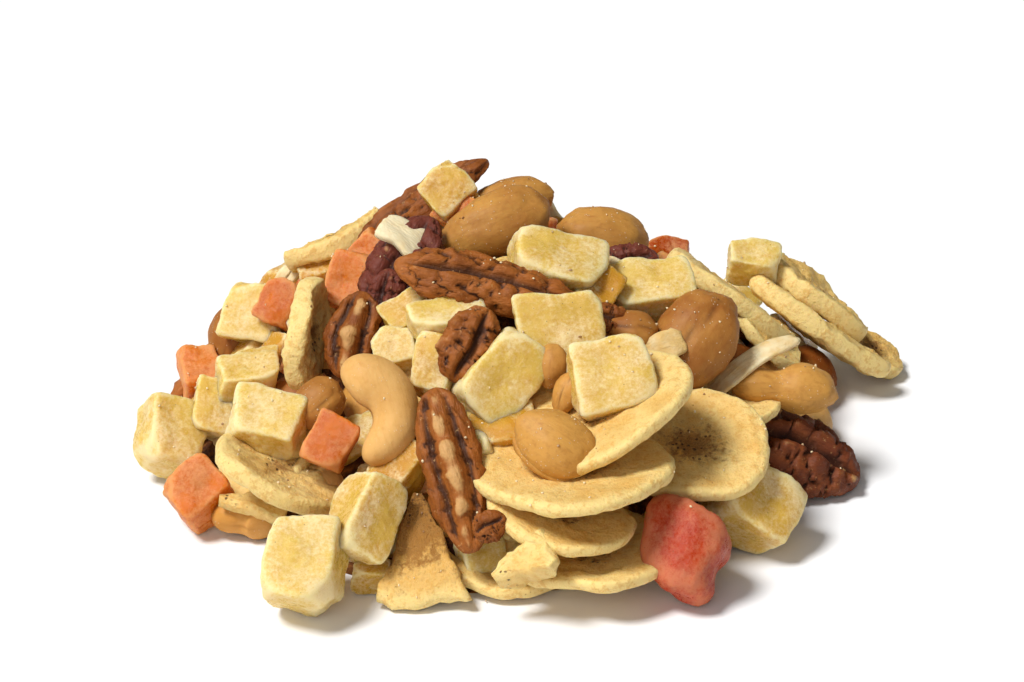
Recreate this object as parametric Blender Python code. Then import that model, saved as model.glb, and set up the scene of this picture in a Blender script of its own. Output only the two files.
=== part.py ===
"""A loose heap of tropical trail mix, lying as it was tipped out.

Metres, with +X to the right, +Y away from the front and +Z up. The origin is the middle of the flat underside.
The front of the heap is laid out piece by piece, each at the spot where it shows in the front view.
The back is scattered by a seeded rule over the same mound.
"""

import math
import random
from dataclasses import dataclass

import bmesh
import bpy
from mathutils import Matrix, Vector

MM = 0.001

# The mound that the top layer of pieces lies on
MOUND_LEFT = 66 * MM
MOUND_RIGHT = 74 * MM
MOUND_FRONT = 70 * MM
MOUND_BACK = 62 * MM
MOUND_PEAK = -5 * MM
MOUND_HEIGHT = 42 * MM
MOUND_POWER = 1.8

# The core is the mound drawn in, so that the pieces stand out of it
CORE_SHARE = 0.9
CORE_HEIGHT = 40.5 * MM
CORE_SIDES = 24
CORE_RINGS = 12
CORE_LUMP = 1.4 * MM

# The front view: its centre, its size in pixels and how far away it is taken from
VIEW_CENTRE = (512, 341)
VIEW_FOCUS = 3640
VIEW_DISTANCE = 700 * MM
VIEW_ELEVATION = math.radians(28)
VIEW_TARGET = Vector((-1 * MM, 0, 19.5 * MM))
VIEW_STEP = 1 * MM
VIEW_REACH = 120 * MM

# No piece reaches below this height, only the flat underside of the core does
FLOOR_GAP = 0.3 * MM

# How far the corners of the dice are drawn in or out, how far their edges are worn, and from what thickness on
CORNER_REACH = (0.74, 1.04)
EDGE_WEAR = 0.14
WORN_FROM = 8.5 * MM

# The groove between the two ridges of a pecan half: how wide and how deep, and how flat the inner side is
PECAN_GROOVE_WIDTH = 0.14
PECAN_GROOVE = 0.35
PECAN_INNER = 0.72

# How much fuller one lobe of a cashew is, how blunt its ends are, and how lopsided a roasted nut is
CASHEW_TAPER = 0.12
CASHEW_BLUNT = 5
CASHEW_MOST_BEND = 1.3
NUT_LEAN = 0.35

# How deeply a banana chip cups as it dries, against its thickness: most of them, and those that stay nearly flat
CHIP_CUP = (0.5, 1.4)
SLAB_SHARE = 0.3

# Cupping of a slice: what its whole rim rises, and what its two far sides rise on top of that
CUP_ALL_ROUND = 0.35
CUP_TWO_SIDES = 0.4

# How much of its point a broken chip has lost, and how far a shaving of coconut bends along its length
WEDGE_BLUNT = 0.1
STRIP_SAG = (0.12, 0.2)

# The scattered pieces: the top layer at the back, deeper where the laid-out pieces of the front cover them
SCATTER_SEED = 7
SCATTER_COUNT = 132
SCATTER_LEAN = 14
SINK_BACK = 2.4 * MM
SINK_FRONT = 7 * MM
BACK_FACING = -0.2
FRONT_FACING = 0.5
FRONT_SHRINK = 0.8
FRONT_PULL = 0.12

# Where a scattered piece would lie out of sight under the laid-out ones, it is left to the core
BURIED = 0.75
UNDER_SHARE = 0.76

# The turn from one seed of a sunflower to the next
GOLDEN_ANGLE = math.pi * (3 - math.sqrt(5))

# Joining
MERGE_DISTANCE = 0.003 * MM
FLAT_ANGLE = math.radians(1.0)


@dataclass(frozen=True)
class Piece:
    """One piece of the mix, placed by where its middle shows in the front view.

    size is length, width and thickness in millimetres. turn is the long axis in the view, anticlockwise from
    the right. nod takes its far end away from the viewer and a negative roll tips its face up. lift, in
    millimetres, brings it off the mound towards the viewer. A piece on the ground stands on the flat instead.
    """

    kind: str
    at: tuple
    size: tuple
    turn: float = 0
    nod: float = 0
    roll: float = 0
    lift: float = 3
    ground: bool = False


PIECES = (
    # Left foot of the heap
    Piece("cube", at=(173, 437), size=(12.5, 13, 11), turn=-14, nod=20, roll=-24, ground=True),
    Piece("cube", at=(199, 373), size=(8.5, 9.5, 8), turn=8, nod=10, roll=-30, lift=1),
    Piece("nut", at=(231, 338), size=(14, 9, 8), turn=75, lift=0),
    Piece("cube", at=(257, 316), size=(14, 11.5, 8), turn=-10, nod=-12, roll=-10, lift=4),
    Piece("cube", at=(246, 380), size=(12.5, 9, 8), turn=4, nod=6, roll=-50, lift=2),
    Piece("cube", at=(214, 406), size=(12.5, 8, 9), turn=82, nod=20, roll=10, lift=3),
    Piece("cube", at=(266, 424), size=(15, 12, 10), turn=-12, nod=-14, roll=-30, lift=8),
    Piece("slab", at=(278, 472), size=(29, 23, 3.6), turn=-24, nod=8, roll=-70, lift=4),
    Piece("cube", at=(200, 492), size=(12, 11, 10), turn=38, nod=10, roll=-20, ground=True),
    Piece("wedge", at=(250, 503), size=(14, 9, 2.6), turn=-10, roll=-60, lift=2),
    Piece("cashew", at=(243, 524), size=(17, 10, 7), turn=-6, roll=-55, ground=True),
    # Front foot of the heap
    Piece("cube", at=(307, 562), size=(15, 17, 12.5), turn=-3, nod=-8, roll=-22, ground=True),
    Piece("cube", at=(367, 520), size=(16.5, 11.5, 11), turn=66, nod=16, roll=30, lift=5),
    Piece("wedge", at=(421, 545), size=(23, 18, 3), turn=-87, nod=-16, roll=6, lift=5),
    Piece("cube", at=(372, 572), size=(8, 6, 6), turn=-8, roll=-40, ground=True),
    Piece("chip", at=(505, 560), size=(27, 26, 2.6), turn=0, roll=-62, ground=True),
    Piece("chip", at=(592, 556), size=(30, 27, 2.6), turn=8, nod=4, roll=-60, lift=-1),
    Piece("chip", at=(560, 513), size=(28, 26, 2.4), turn=-14, nod=2, roll=-58, lift=4),
    Piece("wedge", at=(522, 566), size=(13, 10, 5), turn=24, nod=-10, roll=-40, lift=8),
    Piece("cube", at=(681, 551), size=(16, 15, 12), turn=62, nod=12, roll=-18, ground=True),
    Piece("cube", at=(753, 507), size=(16, 14.5, 12), turn=-32, nod=14, roll=-30, ground=True),
    # Right foot of the heap
    Piece("pecan", at=(802, 456), size=(24, 17, 11), turn=-24, nod=8, roll=-40, ground=True),
    Piece("nut", at=(784, 388), size=(20, 10, 9), turn=-4, nod=4, roll=-20, lift=9),
    Piece("nut", at=(691, 345), size=(22, 15, 11), turn=58, nod=10, roll=-10, lift=5),
    Piece("chip", at=(726, 404), size=(20, 17, 2.6), turn=-10, roll=-54, lift=-4),
    Piece("strip", at=(745, 364), size=(20, 5, 1.2), turn=40, nod=6, roll=-30, lift=8),
    Piece("slab", at=(766, 338), size=(17, 13, 2.4), turn=-42, nod=4, roll=-70, lift=3),
    Piece("slab", at=(816, 298), size=(25, 15, 4), turn=-40, nod=4, roll=-77, lift=-1),
    Piece("slab", at=(815, 327), size=(34, 15, 3.8), turn=-35, nod=4, roll=-88, lift=6),
    Piece("slab", at=(733, 303), size=(33, 22, 3.8), turn=-36, nod=3, roll=-86, lift=3),
    Piece("slab", at=(868, 352), size=(15, 12, 3), turn=-34, nod=0, roll=-62, ground=True),
    Piece("cube", at=(752, 262), size=(11, 8, 8), turn=-10, nod=8, roll=-40, lift=0),
    # Middle band
    Piece("chip", at=(690, 450), size=(29.5, 29, 2.8), turn=6, nod=2, roll=-48, lift=3),
    Piece("chip", at=(573, 471), size=(37, 34, 2.8), turn=2, nod=2, roll=-61, lift=7),
    Piece("chip", at=(601, 410), size=(36, 32, 2.8), turn=31, nod=6, roll=-54, lift=8),
    Piece("nut", at=(554, 443), size=(15.5, 12, 9), turn=-32, nod=-6, roll=-20, lift=12),
    Piece("pecan", at=(453, 470), size=(31, 11.5, 9), turn=-77, nod=-14, roll=184, lift=7),
    Piece("pecan", at=(490, 526), size=(6.5, 6, 4.5), turn=30, roll=-20, lift=9),
    Piece("cashew", at=(376, 412), size=(23, 17, 9), turn=105, nod=6, roll=186, lift=7),
    Piece("cube", at=(331, 443), size=(11, 9.5, 8), turn=62, nod=8, roll=-12, lift=4),
    Piece("nut", at=(317, 405), size=(11, 9, 8), turn=40, lift=3),
    Piece("slab", at=(306, 335), size=(22, 15, 4), turn=83, nod=16, roll=72, lift=4),
    Piece("cube", at=(398, 470), size=(13, 10, 9), turn=50, nod=10, roll=-30, lift=0),
    Piece("cube", at=(505, 432), size=(14, 10, 8), turn=10, roll=-40, lift=0),
    # Upper band
    Piece("cube", at=(283, 304), size=(11, 8, 8), turn=66, nod=8, roll=-16, lift=0),
    Piece("cube", at=(320, 270), size=(9, 8, 7), turn=20, roll=-40, lift=0),
    Piece("cube", at=(348, 281), size=(12, 8, 8), turn=72, nod=6, roll=-10, lift=2),
    Piece("pecan", at=(353, 335), size=(17, 10.5, 8), turn=76, nod=10, roll=170, lift=1),
    Piece("pecan", at=(403, 266), size=(22, 14, 9), turn=58, nod=12, roll=-24, lift=3),
    Piece("cube", at=(394, 352), size=(9, 9, 7), turn=14, nod=4, roll=-30, lift=0),
    Piece("cube", at=(436, 370), size=(12, 9, 8), turn=74, nod=10, roll=-14, lift=3),
    Piece("cube", at=(449, 322), size=(14.5, 8, 7), turn=6, nod=6, roll=-46, lift=5),
    Piece("pecan", at=(470, 345), size=(15, 11, 8), turn=62, nod=8, roll=12, lift=8),
    Piece("cube", at=(501, 378), size=(20, 13, 8), turn=52, nod=12, roll=6, lift=4),
    Piece("pecan", at=(489, 286), size=(36, 12, 9), turn=-13, nod=0, roll=-34, lift=7),
    Piece("cube", at=(560, 330), size=(17, 13, 8), turn=4, nod=8, roll=-16, lift=4),
    Piece("cube", at=(612, 378), size=(16.5, 15, 8), turn=14, nod=4, roll=-20, lift=13),
    Piece("cube", at=(594, 292), size=(9, 10, 8), turn=-30, roll=-30, lift=1),
    Piece("cube", at=(650, 291), size=(17.5, 12, 8), turn=8, nod=6, roll=-34, lift=4),
    Piece("cube", at=(555, 262), size=(19, 12, 8), turn=-10, nod=6, roll=-38, lift=5),
    Piece("pecan", at=(608, 320), size=(9, 7, 5), turn=-10, roll=-20, lift=2),
    Piece("nut", at=(632, 331), size=(9.5, 8, 6), turn=-10, roll=-20, lift=3),
    Piece("strip", at=(665, 346), size=(8, 6, 2.2), turn=20, roll=-20, lift=8),
    Piece("nut", at=(603, 238), size=(18, 13, 11), turn=-12, nod=8, roll=-30, lift=1),
    Piece("pecan", at=(628, 264), size=(12, 9, 6), turn=10, roll=-30, lift=0),
    Piece("cube", at=(667, 258), size=(10, 8, 7), turn=-8, roll=-40, lift=0),
    # Crest
    Piece("nut", at=(505, 209), size=(14, 10, 8), turn=4, roll=-20, lift=-4),
    Piece("strip", at=(534, 211), size=(13, 9, 2.4), turn=-36, roll=-30, lift=-2),
    Piece("nut", at=(495, 225), size=(22, 13, 11), turn=22, nod=6, roll=-20, lift=5),
    Piece("slab", at=(336, 243), size=(21, 11, 3.6), turn=27, nod=2, roll=-83, lift=3),
    Piece("pecan", at=(424, 203), size=(30, 10.5, 7.5), turn=34, nod=4, roll=-64, lift=3),
    Piece("cube", at=(449, 191), size=(11, 10, 8), turn=42, nod=8, roll=-14, lift=6),
    Piece("cube", at=(462, 212), size=(9, 8, 7), turn=50, roll=-20, lift=10),
    Piece("strip", at=(413, 238), size=(12, 6, 1.4), turn=-40, nod=2, roll=-8, lift=17),
)

# What the scattered pieces are: kind, size in millimetres and share
SCATTER_MIX = (
    ("cube", (14, 12, 9), 7),
    ("chip", (31, 28, 2.6), 3),
    ("pecan", (29, 14, 9), 4),
    ("nut", (18, 12, 9), 4),
    ("cashew", (22, 14, 9), 3),
    ("cube", (11, 9, 8), 4),
    ("strip", (13, 6, 2), 1),
)


def mound_share(x, y):
    """How far out a spot is: 0 under the mound's peak, 1 at its foot."""
    across = x - MOUND_PEAK
    width = MOUND_RIGHT if across > 0 else MOUND_LEFT
    depth = MOUND_BACK if y > 0 else MOUND_FRONT
    return math.hypot(across / width, y / depth)


def mound(x, y):
    """Height of the mound over a spot on the ground."""
    return MOUND_HEIGHT * (1 - min(mound_share(x, y), 1) ** MOUND_POWER)


def mound_normal(x, y):
    """Outward direction of the mound over a spot."""
    slope_x = (mound(x + VIEW_STEP, y) - mound(x - VIEW_STEP, y)) / (2 * VIEW_STEP)
    slope_y = (mound(x, y + VIEW_STEP) - mound(x, y - VIEW_STEP)) / (2 * VIEW_STEP)
    return Vector((-slope_x, -slope_y, 1)).normalized()


def view_axes():
    """Right, up and towards the viewer, as the columns of a matrix."""
    right = Vector((1, 0, 0))
    up = Vector((0, math.sin(VIEW_ELEVATION), math.cos(VIEW_ELEVATION)))
    back = right.cross(up)
    return Matrix((right, up, back)).transposed()


def view_ray(pixel):
    """Where the viewer's eye is and the direction of a pixel."""
    axes = view_axes()
    eye = VIEW_TARGET + axes.col[2] * VIEW_DISTANCE
    across = Vector((pixel[0] - VIEW_CENTRE[0], VIEW_CENTRE[1] - pixel[1], -VIEW_FOCUS))
    return eye, (axes @ across).normalized()


def on_mound(pixel, lift):
    """Point where a pixel's ray meets the mound, or passes nearest over it, brought back by lift."""
    eye, ray = view_ray(pixel)
    best_gap = math.inf
    best_reach = VIEW_DISTANCE
    reach = VIEW_DISTANCE - VIEW_REACH
    while reach < VIEW_DISTANCE + VIEW_REACH and best_gap > 0:
        point = eye + ray * reach
        gap = point.z - mound(point.x, point.y)
        if gap < best_gap and mound_share(point.x, point.y) < 1:
            best_gap = gap
            best_reach = reach
        reach += VIEW_STEP
    return eye + ray * (best_reach - lift)


def on_ground(pixel, height):
    """Point where a pixel's ray passes a height over the ground."""
    eye, ray = view_ray(pixel)
    return eye + ray * ((height - eye.z) / ray.z)


def rod(segments, rings):
    """Unit ball with its poles along X, to be shaped into nuts."""
    bm = bmesh.new()
    bmesh.ops.create_uvsphere(bm, u_segments=segments, v_segments=rings, radius=0.5)
    bmesh.ops.rotate(bm, cent=(0, 0, 0), verts=bm.verts, matrix=Matrix.Rotation(math.pi / 2, 3, "Y"))
    return bm


def fruit_cube(size, rng, fine):
    """Dice of dried fruit with no two corners alike, its edges worn where it shows most."""
    bm = bmesh.new()
    bmesh.ops.create_cube(bm, size=1)
    for vert in bm.verts:
        vert.co = Vector(c * rng.uniform(*CORNER_REACH) for c in vert.co)
    bmesh.ops.scale(bm, vec=size, verts=bm.verts)
    if fine and min(size) > WORN_FROM:
        bmesh.ops.bevel(bm, geom=bm.edges[:], offset=min(size) * EDGE_WEAR, segments=1, profile=0.5,
                        affect="EDGES", material=-1)
    return bm


def half_pecan(size, rng, fine):
    """Half of a pecan: two ridges with a groove between, hollowed on the inner side."""
    bm = rod(8, 6) if fine else rod(6, 4)
    for vert in bm.verts:
        groove = PECAN_GROOVE * max(0, 1 - abs(vert.co.y) / PECAN_GROOVE_WIDTH)
        if vert.co.z > 0:
            vert.co.z *= 1 - groove
        else:
            vert.co.z *= PECAN_INNER - groove
        vert.co *= rng.uniform(0.95, 1.04)
    bmesh.ops.scale(bm, vec=size, verts=bm.verts)
    return bm


def cashew(size, rng, fine):
    """Curved nut: a blunt rod bent into a crescent, one lobe fuller than the other."""
    length, width, thickness = size
    bm = rod(6, 8) if fine else rod(5, 6)
    reach = (length - thickness) / 2
    bend = 2 * math.acos(1 - min((width - thickness) / reach, CASHEW_MOST_BEND))
    for vert in bm.verts:
        along = 2 * vert.co.x
        spread = math.hypot(vert.co.y, vert.co.z)
        full = 0.5 * thickness * math.sqrt(max(0, 1 - abs(along) ** CASHEW_BLUNT)) * (1 + CASHEW_TAPER * along)
        grow = full / spread if spread > 0.001 else 0
        angle = along * bend / 2
        out = reach + vert.co.y * grow
        vert.co = (out * math.sin(angle), out * math.cos(angle) - reach / 2, vert.co.z * grow)
        vert.co *= rng.uniform(0.98, 1.02)
    return bm


def nut(size, rng, fine):
    """Plump roasted nut, a little lopsided."""
    bm = rod(7, 5) if fine else rod(6, 4)
    for vert in bm.verts:
        vert.co.y *= 1 + NUT_LEAN * vert.co.x
        vert.co *= rng.uniform(0.96, 1.04)
    bmesh.ops.scale(bm, vec=size, verts=bm.verts)
    return bm


def thin_disc(size, rng, sides, cupped=1):
    """Slice of banana, uneven round its rim and cupped as it dried, before it gets its thickness."""
    length, width, thickness = size
    bm = bmesh.new()
    bmesh.ops.create_circle(bm, cap_ends=True, cap_tris=True, segments=sides, radius=0.5)
    cup = rng.uniform(*CHIP_CUP) * thickness * cupped
    twist = rng.uniform(0, math.pi)
    for vert in bm.verts:
        out = 2 * vert.co.length
        angle = math.atan2(vert.co.y, vert.co.x)
        wave = math.cos(2 * (angle - twist))
        vert.co.x *= length * rng.uniform(0.95, 1.03)
        vert.co.y *= width * rng.uniform(0.95, 1.03)
        vert.co.z = cup * out * out * (CUP_ALL_ROUND + CUP_TWO_SIDES * wave)
    return bm


def thicken(bm, thickness):
    """Give an open sheet its thickness, half to each side."""
    bmesh.ops.recalc_face_normals(bm, faces=bm.faces)
    bmesh.ops.solidify(bm, geom=bm.faces[:], thickness=thickness)
    bmesh.ops.recalc_face_normals(bm, faces=bm.faces)


def chip(size, rng, fine):
    """Whole banana chip."""
    bm = thin_disc(size, rng, sides=12 if fine else 9)
    thicken(bm, size[2])
    return bm


def slab(size, rng, fine):
    """Banana chip that dried nearly flat."""
    bm = thin_disc(size, rng, sides=12 if fine else 9, cupped=SLAB_SHARE)
    thicken(bm, size[2])
    return bm


def wedge(size, rng, fine):
    """Broken piece of a banana chip: the point at its middle, the rim along its short side."""
    length, width, thickness = size
    bm = thin_disc((2 * length, 2 * length, thickness), rng, sides=16 if fine else 12)
    half_angle = math.atan2(width / 2, length)
    breaks = [(length * WEDGE_BLUNT, (-1, 0, 0))]
    breaks += [(0, (-math.sin(half_angle), side * math.cos(half_angle), 0)) for side in (1, -1)]
    for start, away in breaks:
        bmesh.ops.bisect_plane(bm, geom=bm.verts[:] + bm.edges[:] + bm.faces[:], dist=1e-6,
                               plane_co=(start, 0, 0), plane_no=away, clear_outer=True)
    bmesh.ops.translate(bm, verts=bm.verts, vec=(-length / 2, 0, 0))
    thicken(bm, thickness)
    return bm


def strip(size, rng, fine):
    """Shaving of coconut, bent along its length."""
    length, width, thickness = size
    bm = bmesh.new()
    bmesh.ops.create_grid(bm, x_segments=4 if fine else 3, y_segments=1, size=0.5)
    sag = rng.uniform(*STRIP_SAG) * length
    for vert in bm.verts:
        vert.co.z = -4 * sag * vert.co.x ** 2
        vert.co.x *= length
        vert.co.y *= width * rng.uniform(0.8, 1.1)
    thicken(bm, thickness)
    return bm


SHAPES = {
    "cube": fruit_cube,
    "pecan": half_pecan,
    "cashew": cashew,
    "nut": nut,
    "chip": chip,
    "slab": slab,
    "wedge": wedge,
    "strip": strip,
}


def shape_of(kind, size, number, fine):
    """Mesh of one piece about its own middle, its size given in millimetres, shaped by its own number."""
    return SHAPES[kind](Vector(size) * MM, random.Random(number), fine)


def lowest(bm):
    """Height of a mesh's lowest point."""
    return min(vert.co.z for vert in bm.verts)


def front_piece(piece, number):
    """Mesh of a piece of the front, laid where the view shows it."""
    bm = shape_of(piece.kind, piece.size, number, fine=True)
    turned = (Matrix.Rotation(math.radians(piece.turn), 3, "Z")
              @ Matrix.Rotation(math.radians(piece.nod), 3, "Y")
              @ Matrix.Rotation(math.radians(piece.roll), 3, "X"))
    bmesh.ops.transform(bm, matrix=(view_axes() @ turned).to_4x4(), verts=bm.verts)
    if piece.ground:
        place = on_ground(piece.at, FLOOR_GAP - lowest(bm))
    else:
        place = on_mound(piece.at, piece.lift * MM)
    bmesh.ops.translate(bm, verts=bm.verts, vec=place)
    keep_off_floor(bm)
    return bm


def keep_off_floor(bm):
    """Raise a mesh that would reach below the floor gap."""
    short = FLOOR_GAP - lowest(bm)
    if short > 0:
        bmesh.ops.translate(bm, verts=bm.verts, vec=(0, 0, short))


def facing_front(x, y):
    """How squarely the mound faces the viewer at a spot: 0 at the back, 1 at the front."""
    facing = mound_normal(x, y).dot(view_axes().col[2])
    return min(max((facing - BACK_FACING) / (FRONT_FACING - BACK_FACING), 0), 1)


def scatter_spots():
    """Spots all over the mound, spread evenly like the seeds of a sunflower, drawn in at the front."""
    for number in range(SCATTER_COUNT):
        out = math.sqrt((number + 0.5) / SCATTER_COUNT)
        angle = number * GOLDEN_ANGLE
        width = MOUND_RIGHT if math.cos(angle) > 0 else MOUND_LEFT
        depth = MOUND_BACK if math.sin(angle) > 0 else MOUND_FRONT
        x = width * out * math.cos(angle)
        y = depth * out * math.sin(angle)
        cover = facing_front(MOUND_PEAK + x, y)
        pull = 1 - FRONT_PULL * cover
        yield number, MOUND_PEAK + x * pull, y * pull, cover


def scattered_pieces():
    """Meshes of the scattered pieces, each laid flat on the mound and sunk into it."""
    rng = random.Random(SCATTER_SEED)
    kinds = [row[:2] for row in SCATTER_MIX for _ in range(row[2])]
    for number, x, y, cover in scatter_spots():
        kind, size = rng.choice(kinds)
        grow = rng.uniform(0.9, 1.1) * (1 - (1 - FRONT_SHRINK) * cover)
        leans = [math.radians(rng.uniform(-SCATTER_LEAN, SCATTER_LEAN)) for _ in range(2)]
        spin = rng.uniform(0, 2 * math.pi)
        if cover > BURIED and mound_share(x, y) < UNDER_SHARE:
            continue
        normal = mound_normal(x, y)
        turned = (normal.to_track_quat("Z", "Y").to_matrix()
                  @ Matrix.Rotation(leans[0], 3, "X") @ Matrix.Rotation(leans[1], 3, "Y")
                  @ Matrix.Rotation(spin, 3, "Z"))
        bm = shape_of(kind, [grow * side for side in size], len(PIECES) + number, fine=False)
        bmesh.ops.transform(bm, matrix=turned.to_4x4(), verts=bm.verts)
        sink = SINK_BACK + (SINK_FRONT - SINK_BACK) * cover
        bmesh.ops.translate(bm, verts=bm.verts, vec=Vector((x, y, mound(x, y))) - normal * sink)
        keep_off_floor(bm)
        yield bm


def core_mesh():
    """The packed inside of the heap: a lumpy mound with a flat underside."""
    rng = random.Random(SCATTER_SEED)
    bm = bmesh.new()
    bmesh.ops.create_uvsphere(bm, u_segments=CORE_SIDES, v_segments=CORE_RINGS, radius=1)
    bmesh.ops.bisect_plane(bm, geom=bm.verts[:] + bm.edges[:] + bm.faces[:], dist=1e-6,
                           plane_co=(0, 0, 0), plane_no=(0, 0, 1), clear_inner=True)
    for vert in bm.verts:
        share = math.hypot(vert.co.x, vert.co.y)
        above = vert.co.z > 1e-4
        vert.co.x *= CORE_SHARE * (MOUND_RIGHT if vert.co.x > 0 else MOUND_LEFT)
        vert.co.y *= CORE_SHARE * (MOUND_BACK if vert.co.y > 0 else MOUND_FRONT)
        vert.co.x += MOUND_PEAK
        vert.co.z = 0
        if above:
            vert.co.z = CORE_HEIGHT * (1 - share ** MOUND_POWER) + rng.uniform(-CORE_LUMP, CORE_LUMP)
    rim = [edge for edge in bm.edges if edge.is_boundary]
    bmesh.ops.contextual_create(bm, geom=rim)
    bmesh.ops.recalc_face_normals(bm, faces=bm.faces)
    return bm


def add_object(name, bm, collection):
    """Turn a mesh in the making into an object of a collection."""
    bmesh.ops.triangulate(bm, faces=bm.faces)
    mesh = bpy.data.meshes.new(name)
    bm.to_mesh(mesh)
    bm.free()
    made = bpy.data.objects.new(name, mesh)
    collection.objects.link(made)
    return made


def loose_parts(bm):
    """The separate shells of a mesh, each a set of faces."""
    left = set(bm.faces)
    while left:
        shell = set()
        edge_of = [left.pop()]
        while edge_of:
            face = edge_of.pop()
            shell.add(face)
            near = {other for edge in face.edges for other in edge.link_faces} & left
            left -= near
            edge_of.extend(near)
        yield shell


def tidy_union(mesh):
    """Keep the outer shell alone, so sealed hollows fill and scraps go, and melt flat splits away."""
    bm = bmesh.new()
    bm.from_mesh(mesh)
    bmesh.ops.remove_doubles(bm, verts=bm.verts, dist=MERGE_DISTANCE)
    shells = sorted(loose_parts(bm), key=len)
    spare = [face for shell in shells[:-1] for face in shell]
    bmesh.ops.delete(bm, geom=spare, context="FACES")
    bmesh.ops.dissolve_limit(bm, angle_limit=FLAT_ANGLE, verts=bm.verts, edges=bm.edges)
    bmesh.ops.triangulate(bm, faces=bm.faces)
    bm.to_mesh(mesh)
    bm.free()


def food_material():
    """Golden dried fruit and nuts, seen as one."""
    material = bpy.data.materials.new("trail_mix")
    material.use_nodes = True
    shader = material.node_tree.nodes["Principled BSDF"]
    shader.inputs["Base Color"].default_value = (0.72, 0.44, 0.16, 1)
    shader.inputs["Roughness"].default_value = 0.55
    shader.inputs["Metallic"].default_value = 0
    return material


def all_pieces():
    """Meshes of every piece, front and back."""
    for number, piece in enumerate(PIECES):
        yield piece.kind, front_piece(piece, number)
    for bm in scattered_pieces():
        yield "scattered", bm


def build_heap():
    """Join the pieces and the core into one solid."""
    scene = bpy.context.scene
    heap = add_object("trail_mix", core_mesh(), scene.collection)
    loose = bpy.data.collections.new("pieces")
    scene.collection.children.link(loose)
    for number, (kind, bm) in enumerate(all_pieces()):
        add_object(f"{kind}_{number}", bm, loose)
    union = heap.modifiers.new("join", "BOOLEAN")
    union.operation = "UNION"
    union.operand_type = "COLLECTION"
    union.collection = loose
    union.solver = "EXACT"
    seen = heap.evaluated_get(bpy.context.evaluated_depsgraph_get())
    joined = bpy.data.meshes.new_from_object(seen)
    heap.modifiers.remove(union)
    heap.data = joined
    joined.name = "trail_mix"
    tidy_union(joined)
    joined.materials.clear()
    joined.materials.append(food_material())
    for piece in list(loose.objects):
        bpy.data.objects.remove(piece)
    bpy.data.collections.remove(loose)
    return heap


def main():
    """Clear the scene and build the heap."""
    for old in list(bpy.data.objects):
        bpy.data.objects.remove(old)
    build_heap()


if __name__ == "__main__":
    main()
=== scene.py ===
"""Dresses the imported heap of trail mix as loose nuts, banana chips, candied fruit and coconut.

Metres, with +X to the right, +Y away from the front and +Z up. Each piece of the front lies at the spot where
it shows in the front view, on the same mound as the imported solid, and a seeded rule scatters the rest.
"""

import logging
import math
import random
from collections.abc import Iterator
from dataclasses import dataclass, field
from enum import Enum

import bmesh
import bpy
from mathutils import Matrix, Vector, noise
from mathutils.bvhtree import BVHTree


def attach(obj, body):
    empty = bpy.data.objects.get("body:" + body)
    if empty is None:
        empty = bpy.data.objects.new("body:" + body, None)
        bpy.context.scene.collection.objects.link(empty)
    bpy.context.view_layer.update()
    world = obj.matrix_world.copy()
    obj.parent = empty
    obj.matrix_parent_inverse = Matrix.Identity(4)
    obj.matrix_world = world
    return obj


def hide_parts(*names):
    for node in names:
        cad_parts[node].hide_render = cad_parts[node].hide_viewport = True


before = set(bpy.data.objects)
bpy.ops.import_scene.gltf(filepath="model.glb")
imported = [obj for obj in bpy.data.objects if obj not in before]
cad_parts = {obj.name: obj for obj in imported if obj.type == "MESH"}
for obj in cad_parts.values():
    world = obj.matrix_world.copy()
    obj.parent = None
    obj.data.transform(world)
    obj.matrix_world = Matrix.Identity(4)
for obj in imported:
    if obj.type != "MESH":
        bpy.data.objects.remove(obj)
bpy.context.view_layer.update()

MM = 0.001
LOG = logging.getLogger("trail_mix")
NODE = "trail_mix"

# How the top layer is scattered: the seed, the number of spots, and where a spot counts as facing the front
SCATTER_SEED = 7
SCATTER_COUNT = 132
SCATTER_LEAN = 14
SINK_BACK = 2.4 * MM
SINK_FRONT = 7 * MM
BACK_FACING = -0.2
FRONT_FACING = 0.5
FRONT_SHRINK = 0.8
FRONT_PULL = 0.12
GOLDEN_ANGLE = math.pi * (3 - math.sqrt(5))
FLOOR_GAP = 0.3 * MM
TINY = 1e-6
RAY_STEP = 1 * MM
RAY_REACH = 120 * MM

# What is added to a piece's number to seed its tone and its pattern, how far apart shapes and patterns are
# taken from their noise, and the first number of the bits between the pieces
TONE_SEED = 1000
TINT_SEED = 500
SHAPE_SHIFT = 50
TINT_SHIFT = 90
BITS_FROM = 500

# Seeds Blender's own noise, which otherwise tears the banana shards differently each run
NOISE_SEED = 1795890549

SENSOR_WIDTH = 36
NEAR_CLIP = 0.01
GLOW_SOCKETS = ("Subsurface Weight", "Subsurface Scale", "Subsurface Radius")


class Food(Enum):
    """The kinds of food in the mix."""

    PINEAPPLE = "pineapple"
    PAPAYA = "papaya"
    RED_PAPAYA = "red_papaya"
    PECAN = "pecan"
    CASHEW = "cashew"
    NUT = "roasted_nut"
    CHIP = "banana_chip"
    SLAB = "banana_slab"
    SHARD = "banana_shard"
    COCONUT = "coconut"
    CRUMB = "crumbs"


def blend(share: float, low: float, high: float) -> float:
    """Number a share of the way from low to high."""
    return low + (high - low) * share


def bell(value: float, width: float) -> float:
    """Soft bump: 1 where the value is 0, falling away over the width."""
    return math.exp(-(value / width) ** 2)


def step(value: float, low: float, high: float) -> float:
    """Smooth rise from 0 at low to 1 at high."""
    share = min(max((value - low) / (high - low), 0), 1)
    return share * share * (3 - 2 * share)


def any_spot(rng: random.Random) -> Vector:
    """Random place in a noise, so that no two pieces are shaped alike."""
    return Vector([rng.uniform(0, SHAPE_SHIFT) for _ in range(3)])


def add_object(name: str, data: bpy.types.ID) -> bpy.types.Object:
    """New object of the scene, at the origin."""
    made = bpy.data.objects.new(name, data)
    bpy.context.scene.collection.objects.link(made)
    return made


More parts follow.
